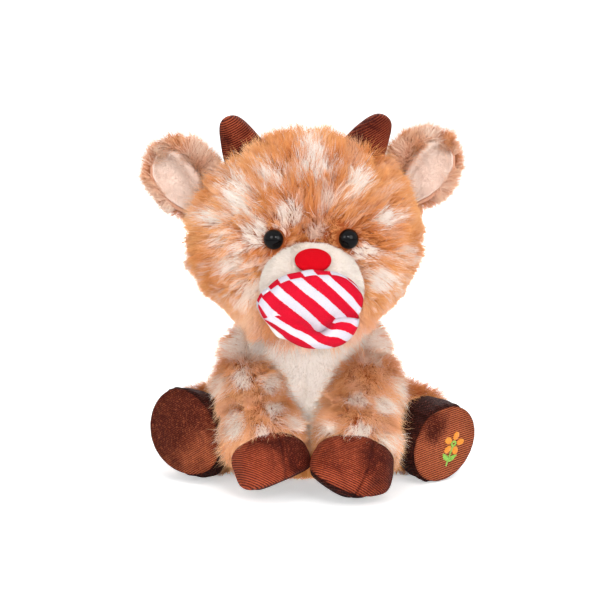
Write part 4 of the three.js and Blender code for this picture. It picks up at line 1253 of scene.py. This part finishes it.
def welt_plane(side):
    """The plane in which a front hoof meets its sole: a point and the way up."""
    x, height, slope = HOOF_WELTS[side]
    return np.array([x, 0.0, height]), unit(np.array([-slope, 0.0, 1.0]))


def make_front_hoof(side, place, reach):
    """A front hoof: velour over a rounded toe with a seam up its middle, and a darker underside."""
    cloth = Cloth(front_hoof_shape(side, place, reach))
    welt, upwards = welt_plane(side)
    points, above, below = cut_apart(cloth.points, cloth.faces, welt, upwards)
    for name, faces, finish in (("front_hoof", above, HOOF_VELOUR), ("front_sole", below, DARK_VELOUR)):
        used = np.unique(np.concatenate(faces))
        renumber = {old: new for new, old in enumerate(used.tolist())}
        faces = [[renumber[corner] for corner in face] for face in faces]
        local = place.into(points[used] - UP * HOOF_RAISE)
        seam = 0.85 * hoof_seam(local, side) + 0.5 * bell((points[used] - welt) @ upwards, 0.5)
        # Painted light and shade: the sole's velour kept dark, the hoof's lit, with painted shade beyond
        # its seam and at its top under the fur
        lay = 0.1
        if finish is HOOF_VELOUR:
            shift = HOOF_SEAMS[side][2]
            shade = rise(local[:, 0], shift, shift + 12) + 0.5 * rise(local[:, 1], 8, 17)
            lay = 0.8 - HOOF_SHADED[side] * shade
        values = {"seam": np.clip(seam, 0, 1), "lay": lay}
        label, node = name + "_velour_" + side, name + "_" + side
        piece = mesh_piece(label, points[used], faces, finish, "foreleg_" + side, [node], values)


def hindleg_place(side, sign):
    """A hind leg's frame, from its hip to its sole."""
    outward = math.radians(HIND_TURN[side])
    return Place(np.array(HIP) * (sign, 1, 1), (sign * math.sin(outward), -math.cos(outward), 0), UP)


HINDLEGS = {side: hindleg_place(side, sign) for side, sign in SIDES}


def make_hindlegs():
    """The hind legs: a sleeve of cloth with its fur, and the hoof with its sole."""
    for side, sign in SIDES:
        place = HINDLEGS[side]
        body = "hindleg_" + side
        start = HIND_HOOF_START
        depth = BODY_FUR_DEPTH
        profile = [(0, -23), (8, -21.5), (14, -16), (17, -8), (17.8, 0)]
        profile += [(THIGH_RADIUS - depth, start * 0.45), (THIGH_RADIUS * 0.96 - depth + 1, start)]
        profile += [(THIGH_RADIUS * 0.9 - depth, start + 2), (0, start + 2.2)]
        skin = sleeve(place, profile, THIGH_WIDTH_SHARE)
        name = "hindleg_cloth_" + side
        cloth_piece(name, skin, FUR, body, "hindleg_cover_" + side, 0.85, **UNDER_FUR)
        roots, normals = skin.scatter(HINDLEG_COAT.density)
        local = place.into(roots)
        keep = (local[:, 2] < start) & (roots[:, 2] > 1.5)
        roots, normals, local = roots[keep], normals[keep], local[keep]
        flow = tangent(place.turn(UP * 0.8) + DOWN * 0.35, normals)
        length = HINDLEG_COAT.length * (1 - 0.3 * rise(local[:, 2], start - 8, start))
        strands, clumps = grow(HINDLEG_COAT, roots, normals, flow, length)
        spot = pale_spots(strands, clumps, BODY_SPOTS, False)
        tone = 0.45 + 0.3 * drift(roots, 20) + 0.16 * random.normal(size=len(roots))
        fur_piece("hindleg_fur_" + side, strands, normals, body, FUR, spot, tone)
        make_hind_hoof(side, sign)
        make_hind_sole(side)


def settled(hoof, side):
    """A hind hoof's points in the toy, lifted or pressed down towards its sole, its oval leaning."""
    x, y = hoof[..., 0], hoof[..., 1]
    share = rise(hoof[..., 2], HIND_HOOF_START, HIND_LENGTH)
    share = share * share * (3 - 2 * share)
    lean, swell = HIND_SOLE_LEAN[side]
    leaned = hoof.copy()
    leaned[..., 0] = x * (1 - swell * share * y / THIGH_RADIUS) + lean * share * y
    world = HINDLEGS[side].out(leaned)
    world[..., 2] *= 1 - HIND_SOLE_SQUASH[side] * (0.5 + 0.5 * share)
    world[..., 2] += HIND_SOLE_LIFT[side] * share
    return world


# Hind hooves: where the band ends and the radius of the sole's disc
HIND_BAND_END = HIND_LENGTH - HIND_SOLE_THICKNESS
HIND_EDGE = THIGH_RADIUS * 0.95


def puckers(round_):
    """The puckers round a hind hoof's rim, from -1 to 1."""
    return np.sin(23 * round_ + 2 * np.sin(3 * round_))


def make_hind_hoof(side, sign):
    """A hind hoof's dark velour band, puckered a little where it meets the sole."""
    start, end, wide, edge = HIND_HOOF_START, HIND_BAND_END, THIGH_RADIUS, HIND_EDGE
    profile = [(wide * 0.55, start - 2.5), (wide * 0.88, start - 0.5), (wide * 0.965, start + 3)]
    profile += [(wide, start + 8), (wide * 0.99, start + 13), (edge + 0.3, end - 0.6)]
    profile += [(edge - 0.7, end + 0.35), (edge - 2.5, end + 0.2), (edge - 5.0, end - 0.4)]
    band = lathe(smooth(profile, 44), 96, THIGH_WIDTH_SHARE)
    round_ = np.arctan2(band[..., 1], band[..., 0])
    near_rim = bell(band[..., 2] - end, 3.5)
    side_seam = 0.8 * bell(round_ - (math.pi / 2 + 0.7 * sign), 0.05)
    pulled_in = side_seam - 0.35 * near_rim * puckers(round_)
    band[..., :2] *= (1 - pulled_in / THIGH_RADIUS)[..., None]
    world = settled(band, side)
    swell = 0.6 * drift(world, 17) + 0.2 * drift(world, 6)
    world += HINDLEGS[side].turn(unit(band * (1, 1, 0))) * swell[..., None]
    world[..., 2] = np.maximum(world[..., 2], REST_CLEARANCE)
    # Painted light: lighter near the rim on one half of the band
    values = {"lay": 0.3 * near_rim * (np.sin(round_) > 0), "seam": 0.6 * side_seam}
    name, node = "hind_hoof_velour_" + side, "hind_hoof_" + side
    cloth_piece(name, Cloth(world), DARK_VELOUR, "hindleg_" + side, node, 0.85, **values)


def make_hind_sole(side):
    """A hind sole: an oval velour disc, crowned, rippled round its rim and pinched in places, with painted
    light and shade on it.
    """
    shares = np.linspace(1, 0, 30)
    crown = HIND_LENGTH - 1.4 + 1.6 * (1 - shares**3.2)
    rim = [(HIND_EDGE - 2.2, HIND_BAND_END + 0.3), (HIND_EDGE - 0.9, HIND_BAND_END + 0.6)]
    rim.append((HIND_EDGE - 0.25, HIND_LENGTH - 2.0))
    disc = lathe([*rim, *zip(shares * HIND_EDGE, crown)], 96, THIGH_WIDTH_SHARE)
    round_ = np.arctan2(disc[..., 1], disc[..., 0])
    x, y = disc[..., 0] / THIGH_WIDTH_SHARE, disc[..., 1].copy()
    far = np.hypot(x, y) / HIND_EDGE
    disc[..., 2] += 0.22 * bell(far - 0.92, 0.08) * puckers(round_)
    # Painted light and shade: the right sole darker, lightening towards one side; the left sole lit, with a
    # painted shaded patch by its dent
    lay = 0.22 - y / 60 + x / 90
    if side == "left":
        disc[..., 2] -= 1.2 * bell(np.hypot(x + 13, y - 15), 6)
        lay = 0.95 - 0.9 * bell(np.hypot(x + 12, y - 12), 10)
    world = settled(disc, side)
    world += HINDLEGS[side].turn(UP) * (0.45 * drift(world, 19) * (1 - far**4))[..., None]
    world[..., 2] = np.maximum(world[..., 2], REST_CLEARANCE)
    values = {"lay": lay, "seam": 0.35 * bell(far - 1, 0.03)}
    name, node = "hind_sole_velour_" + side, "hind_sole_" + side
    cloth_piece(name, Cloth(world), SOLE_VELOUR, "hindleg_" + side, node, 0.9, **values)


def make_blossom():
    """The embroidery on the left hind sole: five petals, a ring, a stem and two leaves in satin stitch."""
    cosine, sine = math.cos(MOTIF_TILT), math.sin(MOTIF_TILT)
    tilted = np.array([[cosine, -sine, 0], [sine, cosine, 0], [0, 0, 1]])
    size = MOTIF_SIZE
    heart = np.array([0.0, 0.16 * size])
    orange, green = [], []
    for petal in range(5):
        angle = petal * 2 * math.pi / 5
        out = np.array([math.sin(angle), math.cos(angle)])
        across = np.array([out[1], -out[0]])
        for step in np.linspace(0.06, 1, 26):
            middle = heart + out * size * (0.11 + 0.23 * step)
            half = 0.095 * size * math.sqrt(max(1 - (2 * step - 1.05) ** 2 * 0.92, 0.02))
            orange.append((middle - across * half, middle + across * half))
    for step in np.linspace(0, 2 * math.pi, 40, False):
        out = np.array([math.sin(step), math.cos(step)])
        green.append((heart + out * size * 0.035, heart + out * size * 0.095))
    for step in np.linspace(0.02, 1, 26):
        middle = np.array([0.0, 0.06 * size - step * 0.56 * size])
        green.append((middle + (-0.026 * size, 0.012 * size), middle + (0.026 * size, -0.012 * size)))
    for sign in (-1, 1):
        root, tip = np.array([0.0, -0.36 * size]), np.array([sign * 0.235 * size, -0.17 * size])
        line = unit(tip - root)
        across = np.array([line[1], -line[0]])
        for step in np.linspace(0.04, 1, 24):
            middle = root + (tip - root) * step
            half = 0.07 * size * math.sin(math.pi * min(step * 0.95 + 0.03, 1)) + 0.05
            green.append((middle - across * half + line * 0.5, middle + across * half - line * 0.5))
    for name, lines, finish, replaces in (
        ("sole_blossom", orange, ORANGE_THREAD, ["sole_embroidery"]),
        ("sole_stem", green, GREEN_THREAD, ()),
    ):
        points, faces = [], []
        for index, (start, stop) in enumerate(lines):
            stitched, quads = stitch(start, stop, index)
            faces.extend([corner + len(points) for corner in quad] for quad in quads)
            points.extend(stitched)
        threads = settled(np.array(points) @ tilted + MOTIF_SHIFT, "left")
        mesh_piece(name, threads, faces, finish, "hindleg_left", replaces)


def stitch(start, stop, index):
    """One satin stitch: points and faces of a narrow arched ribbon from start to stop."""
    line = stop - start
    across = np.array([line[1], -line[0]])
    across = across / max(np.linalg.norm(across), 1e-6) * STITCH_HALF_WIDTH
    base = HIND_LENGTH + MOTIF_LIFT
    points = []
    for share in np.linspace(0, 1, 5):
        arch = STITCH_ARCH * math.sin(math.pi * min(max(share, 0.03), 0.97)) ** 0.5
        height = base + arch + STITCH_STAGGER * (index % 3)
        for sideways in (-1, 0, 1):
            point = start + line * share + across * sideways
            points.append([*point, height - STITCH_ROUNDING * abs(sideways)])
    corners = [row * 3 + column for row in range(4) for column in range(2)]
    return points, [[corner, corner + 1, corner + 4, corner + 3] for corner in corners]


# Striped ring, in millimetres from its middle as seen from the front. A stripe's number is whole
# in the middle of a white one and a half in the middle of a red one.
RING_OUTLINE = [
    (25.0, -1.5), (27.0, 2.3), (27.4, 5.8), (25.7, 10.0), (21.5, 15.2), (14.6, 19.0), (6.0, 20.3),
    (0.9, 20.7), (-6.0, 19.5), (-12.0, 18.2), (-17.1, 15.6), (-22.3, 11.3), (-24.9, 9.2),
    (-26.6, 6.6), (-27.6, 2.3), (-26.6, -0.3), (-24.0, -4.5), (-20.6, -8.0), (-16.3, -12.2),
    (-9.4, -17.4), (-3.4, -20.0), (3.4, -20.4), (10.3, -20.2), (17.1, -17.9), (21.5, -14.0),
    (24.4, -8.9), (25.2, -5.4),
]
RING_CREASE = [
    (-16.5, -1.8), (-13.4, -2.8), (-9.3, -4.1), (-5.1, -5.9), (0.9, -9.5), (5.1, -11.4),
    (10.3, -8.0), (12.9, -4.6), (18.0, -3.5), (23.4, -3.9),
]
# How deep the crease between the lobes is at an x: least share of the half thickness that stays
CREASE_X = [-16.5, -8.0, 1.0, 7.0, 12.0, 23.4]
CREASE_FLOOR = [0.88, 0.76, 0.45, 0.12, 0.45, 0.6]
UPPER_STRIPES = {
    0.5: [(-27.3, 1.8), (-25.2, -2.3), (-23.2, -5.9)],
    1: [(-25.7, 5.4), (-22.1, 0.8), (-18.0, -3.3)],
    1.5: [(-23.7, 9.0), (-18.0, 4.1), (-13.4, 0.3), (-7.2, -3.9), (-2.1, -8.0)],
    2: [(-19.0, 12.6), (-12.9, 7.5), (-7.7, 2.8), (-2.1, -2.3), (3.6, -8.5)],
    2.5: [(-12.4, 14.2), (-7.7, 10.0), (-2.1, 5.4), (3.6, 0.3), (9.8, -5.9)],
    3: [(-7.2, 16.2), (-2.1, 12.6), (3.1, 8.5), (8.2, 3.9), (15.4, -2.8)],
    3.5: [(-1.0, 18.3), (6.2, 12.6), (13.4, 6.2), (21.1, -1.3)],
    4: [(6.7, 18.8), (12.9, 13.6), (20.6, 6.4), (24.2, 1.8)],
    4.5: [(13.9, 17.2), (20.6, 11.6), (24.7, 6.4), (26.5, 3.3)],
    5: [(21.6, 16.7), (26.8, 11.1)],
}
LOWER_STRIPES = {
    0: [(-19.0, -22.5), (-11.0, -27.5)],
    0.5: [(-20.1, -6.9), (-14.4, -12.1), (-8.2, -16.2), (-3.1, -19.0)],
    1: [(-18.5, -4.6), (-11.8, -8.2), (-5.1, -11.6), (1.0, -15.4), (6.2, -19.0)],
    1.5: [
        (-12.4, -4.4), (-7.2, -7.5), (-2.6, -10.0), (0.9, -9.6), (3.6, -13.4), (9.3, -15.4),
        (14.4, -16.5),
    ],
    2: [(6.2, -10.3), (12.9, -10.0), (18.0, -12.4), (20.6, -14.9)],
    2.5: [(11.8, -8.0), (16.0, -6.7), (20.1, -7.7), (23.2, -10.0)],
    3: [(11.8, -5.7), (16.5, -4.4), (21.1, -4.1), (24.7, -6.4)],
}


def stripe_numbers(marks, x, z):
    """Stripe numbers at x and z, smooth through the marks on a lobe's stripes."""
    places = np.array([place for number in marks for place in marks[number]])
    numbers = np.array([number for number in marks for _ in marks[number]])
    count = len(places)
    system = np.zeros((count + 3, count + 3))
    system[:count, :count] = np.linalg.norm(places[:, None] - places[None], axis=-1)
    system[:count, count] = 1
    system[:count, count + 1 :] = places
    system[count:, :count] = system[:count, count:].T
    system[range(count), range(count)] = -1.0
    weights = np.linalg.solve(system, np.append(numbers, [0, 0, 0]))
    asked = np.stack([x, z], axis=-1)
    far = np.linalg.norm(asked[..., None, :] - places, axis=-1)
    return far @ weights[:count] + weights[count] + asked @ weights[count + 1 :]


def ring_rolls(wrap, front_steps, back_steps):
    """Angles round the ring's section, over its front and then its back, from the seam on its rim."""
    to_front = np.linspace(0, 1, front_steps + 1)[None, :]
    to_back = np.linspace(0, 1, back_steps + 1)[None, 1:-1]
    front = -wrap[:, None] * (1 - to_front) - math.pi * to_front
    back = -math.pi * (1 - to_back) - (2 * math.pi + wrap[:, None]) * to_back
    return np.concatenate([front, back], axis=1)


def make_ring():
    """The stuffed ring: a thick upper lobe over a lower tube that curls up at one end, pressed together."""
    front_steps, back_steps = 30, 22
    # The outline outside and the crease inside, at the same places round the ring
    outline = np.array(RING_OUTLINE)
    closed = smooth(np.concatenate([outline[-3:], outline, outline[:3]]), 1400)
    angle = np.unwrap(np.arctan2(closed[:, 1] + 3.5, closed[:, 0]))
    around = np.linspace(0, 2 * math.pi, 200)
    outer = np.stack([np.interp(around, angle, closed[:, axis]) for axis in (0, 1)], axis=1)
    crease = smooth(RING_CREASE, 200)
    along, steps = (1 + np.cos(around)) / 2, np.linspace(0, 1, len(crease))
    inner = np.stack([np.interp(along, steps, crease[:, axis]) for axis in (0, 1)], axis=1)
    # Sections between them, full outside and pressed flat towards the crease
    below = around > math.pi
    half_thick = RING_THICKNESS / 2 * (0.9 + 0.1 * np.sin(around))
    forward = below * 2.0 * rise(inner[:, 0], 2, 12)
    wrap = np.arcsin(0.12 + 0.42 * np.clip(np.cos(around - math.radians(120)), 0, 1))
    roll = ring_rolls(wrap, front_steps, back_steps)
    across, depth = np.cos(roll), np.sin(roll)
    inside = (across < 0) & (depth < -1e-6)
    floor = np.interp(inner[:, 0], CREASE_X, CREASE_FLOOR)[:, None]
    depth = np.where(inside, np.minimum(depth, -floor), depth)
    bulge = np.where(across > 0, across, -(np.abs(across) ** 1.25))
    middle, half = (outer + inner) / 2, (outer - inner) / 2
    x = middle[:, :1] + half[:, :1] * bulge
    z = middle[:, 1:] + half[:, 1:] * bulge
    y = depth * half_thick[:, None] - forward[:, None]
    local = np.stack([x, y, z], axis=-1)
    local += drift(local, 10)[..., None] * RING_LUMPS
    # The seam along the rim pulls the cloth in
    index = np.arange(roll.shape[1])
    seam = bell(np.minimum(index, roll.shape[1] - index), 0.9)
    centre = np.stack([middle[:, 0], -forward, middle[:, 1]], axis=-1)[:, None, :]
    local += unit(centre - local) * (RING_SEAM_DEPTH * seam)[None, :, None]
    upper, lower = stripe_numbers(UPPER_STRIPES, x, z), stripe_numbers(LOWER_STRIPES, x, z)
    stripe = np.where(below[:, None], lower, upper)
    # Painted shade deep in the crease between the lobes, strongest where the crease is deepest
    hollow = np.where(inside, np.exp(-((across + 1) / 0.12)), 0) * rise(floor, 0.8, 0.12)
    cloth = Cloth(HEAD.out(local + RING_CENTRE))
    in_front = np.arange(len(cloth.faces)) % roll.shape[1] < front_steps
    for name, chosen, step in (("ring_front", in_front, 0), ("ring_back", ~in_front, BACK_STRIPE_STEP)):
        used, corners = np.unique(cloth.faces[chosen], return_inverse=True)
        values = {"stripe": stripe.ravel()[used] + step, "hollow": hollow.ravel()[used]}
        faces = corners.reshape(-1, 4).tolist()
        piece = mesh_piece(name, cloth.points[used], faces, STRIPES, "ring", [name + "_panel"], values)


def make_tail():
    """The tail: cloth under short fur, pale below."""
    place = Place(TAIL_ROOT, (0, math.cos(TAIL_RISE), math.sin(TAIL_RISE)))
    skin = Cloth(place.out(ellipsoid(UP * TAIL_HALF[2] * 0.9, TAIL_HALF - TAIL_FUR_DEPTH, 24, 32)))
    cloth_piece("tail_cloth", skin, FUR, "tail", "tail_cover", 0.7, **UNDER_FUR)
    roots, normals = skin.scatter(TAIL_COAT.density)
    flow = tangent(place.turn(UP) + DOWN * 0.2, normals)
    strands, _ = grow(TAIL_COAT, roots, normals, flow)
    spot = 0.9 * rise(place.into(strands[:, 2])[:, 1], -1, -5)
    tone = 0.45 + 0.2 * random.normal(size=len(roots))
    fur_piece("tail_fur", strands, normals, "tail", FUR, spot, tone)


WADS = (
    "torso_stuffing", "neck_stuffing", "head_stuffing", "ring_stuffing", "foreleg_stuffing_left",
    "foreleg_stuffing_right", "hindleg_stuffing_left", "hindleg_stuffing_right",
)


def kept_in_hindleg(places, side):
    """A hind leg's filling, kept inside the cloth that narrows at the hip and lies flat at the sole."""
    local = HINDLEGS[side].into(places)
    room = np.interp(local[:, 2], [-22, -16, -8, 0, 6], [2, 9, 13, 15, 40])
    local[:, :2] *= np.minimum(1, room / np.maximum(off_axis(local), 0.1))[:, None]
    local[:, 2] = np.maximum(local[:, 2], -19)
    places = HINDLEGS[side].out(local)
    places[:, 2] *= 1 - 1.25 * HIND_SOLE_SQUASH[side] * rise(local[:, 2], 25, 37)
    return places


def kept_in_foreleg(places, side):
    """A foreleg's filling, kept over the underside of its hoof."""
    floor = sole_heights(places, side) * rise(places[:, 1], -42, -50)
    low = places[:, 2] - floor
    places[:, 2] = np.where(low < 8, floor + 8 * np.exp((low - 8) / 9), places[:, 2])
    return places


def make_wads():
    """The filling: each wad is the CAD's, drawn in a little and lumpy, inside its covers."""
    for node in WADS:
        body = node.replace("_stuffing", "")
        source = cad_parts[node]
        mesh = source.data.copy()
        mesh.materials.clear()
        wad = dress(node + "_wad", mesh, FIBRE, body, [node])
        wad.data.transform(wad.matrix_basis.inverted() @ source.matrix_world)
        remesh = wad.modifiers.new("even", "REMESH")
        remesh.mode = "VOXEL"
        remesh.voxel_size = FILLING_GRAIN * MM
        bake_modifiers(wad)
        even = wad.data
        places, facing = np.zeros((2, len(even.vertices) * 3), np.float32)
        even.vertices.foreach_get("co", places)
        even.vertex_normals.foreach_get("vector", facing)
        places, facing = places.reshape(-1, 3) / MM, facing.reshape(-1, 3)
        sink = FILLING_SINK + 0.5 * drift(places, 8) + 0.3 * drift(places, 4)
        part, _, side = body.partition("_")
        if part == "hindleg":
            places = kept_in_hindleg(places, side)
        if part == "foreleg":
            places = kept_in_foreleg(places, side)
        places = (places - facing * sink[:, None]) * MM
        even.vertices.foreach_set("co", places.astype(np.float32).ravel())
        even.polygons.foreach_set("use_smooth", [True] * len(even.polygons))
        even.update()
        if not even.materials:
            even.materials.append(FIBRE.material)


def make_tack():
    """The thread knot that holds the ring: a few turns of red thread."""
    steps = np.linspace(0, 1, 120)
    turns = steps * 2 * math.pi * TACK_TURNS
    x, z = TACK_RADIUS * np.cos(turns), TACK_RADIUS * np.sin(turns)
    line = np.stack([x, TACK_LENGTH * (steps - 0.5), z], axis=1)
    curve = bpy.data.curves.new("tack_knot", "CURVE")
    curve.dimensions = "3D"
    curve.bevel_depth = TACK_THREAD_RADIUS * MM
    curve.bevel_resolution = 2
    spline = curve.splines.new("POLY")
    spline.points.add(len(line) - 1)
    for point, place in zip(spline.points, (line + TACK_CENTRE) * MM):
        point.co = (*place, 1)
    dress("tack_knot", curve, RED_THREAD, "head", ["ring_tack"])


def make_camera():
    """The photograph's camera: a long lens a little above the toy."""
    data = bpy.data.cameras.new("camera")
    data.sensor_width = SENSOR
    data.lens = SENSOR * PIXELS_PER_RADIAN / PICTURE
    data.shift_x = (PICTURE / 2 - AIM_PIXEL[0]) / PICTURE
    data.shift_y = (AIM_PIXEL[1] - PICTURE / 2) / PICTURE
    camera = bpy.data.objects.new("camera", data)
    way = np.array([0, -math.cos(CAMERA_TILT), math.sin(CAMERA_TILT)])
    camera.location = (AIM_POINT + CAMERA_DISTANCE * way) * MM
    camera.rotation_euler = (math.pi / 2 - CAMERA_TILT, 0, 0)
    bpy.context.scene.collection.objects.link(camera)
    bpy.context.scene.camera = camera


def make_lamp(name, place, size, power, aim=(0, -10, 90), spread=180.0, gleams=True):
    """A round lamp aimed at the toy. One that doesn't gleam isn't mirrored by gloss."""
    data = bpy.data.lights.new(name, "AREA")
    data.shape = "DISK"
    data.size = size * MM
    data.energy = power
    data.spread = math.radians(spread)
    lamp = bpy.data.objects.new(name, data)
    lamp.location = np.array(place) * MM
    lamp.rotation_euler = Vector(np.subtract(aim, place)).to_track_quat("-Z", "Y").to_euler()
    lamp.visible_glossy = gleams
    bpy.context.scene.collection.objects.link(lamp)


def make_floor():
    """A pale floor that shines a little, so that only a faint shadow shows on it."""
    mesh = bpy.data.meshes.new("floor")
    reach = 12.0
    corners = [(-reach, -reach, 0), (reach, -reach, 0), (reach, reach, 0), (-reach, reach, 0)]
    mesh.from_pydata(corners, [], [(0, 1, 2, 3)])
    floor = bpy.data.objects.new("floor", mesh)
    bpy.context.scene.collection.objects.link(floor)
    grey = (0.86, 0.86, 0.86, 1)
    paper = Finish("floor_paper", roughness=0.9, base_color=grey, emission_strength=1.0)
    camera_ray = paper.node("ShaderNodeLightPath", output=0)
    distance = paper.node("ShaderNodeVectorMath", {"operation": "LENGTH"}, {0: paper.place()}, output=1)
    glow = 0.5 + paper.level(distance, 0.2, 0.5) * 0.6
    light = paper.mix(camera_ray * glow, (0, 0, 0), (255, 255, 255))
    paper.feed(paper.shader, "Emission Color", light)
    mesh.materials.append(paper.material)


def make_world():
    """White surroundings: full white for the camera and in gloss, and dimmer as a light on the toy."""
    world = bpy.data.worlds.new("studio")
    world.use_nodes = True
    sky = Nodes(world.node_tree)
    rays = ("Is Camera Ray", "Is Glossy Ray", "Is Transmission Ray")
    seen, mirrored, through = (sky.node("ShaderNodeLightPath", output=ray) for ray in rays)
    shown = seen.called("MAXIMUM", mirrored.called("MAXIMUM", through))
    strength = sky.node("ShaderNodeMapRange", None, {0: shown, "To Min": 0.42, "To Max": 1.0})
    background = world.node_tree.nodes["Background"]
    sky.feed(background, "Strength", strength)
    sky.feed(background, "Color", (1, 1, 1, 1))
    bpy.context.scene.world = world


def make_lamps():
    """Two large lamps above in front, a small one between them for the eyes' highlight, and four that
    lift the top, the underside, the legs and the back."""
    make_lamp("key", (-520, -900, 620), 450, 2.7)
    make_lamp("fill", (640, -850, 540), 600, 3.5)
    make_lamp("middle", (180, -950, 640), 180, 2.2)
    make_lamp("top", (0, -380, 1050), 600, 3.0, gleams=False)
    make_lamp("low", (0, -1100, 60), 500, 0.8, (0, -20, 30), gleams=False)
    make_lamp("legs", (0, -900, 60), 180, 0.075, (0, -50, 15), 17.0, gleams=False)
    make_lamp("back", (100, 1000, 620), 800, 5.0)


make_camera()
make_floor()
make_world()
make_lamps()
make_head()
make_muzzle()
make_nose()
make_eyes()
make_horns()
make_ears()
make_torso()
make_belly()
make_forelegs()
make_hindlegs()
make_blossom()
make_ring()
make_tail()
make_tack()
make_wads()

bpy.context.scene.view_settings.view_transform = "Standard"
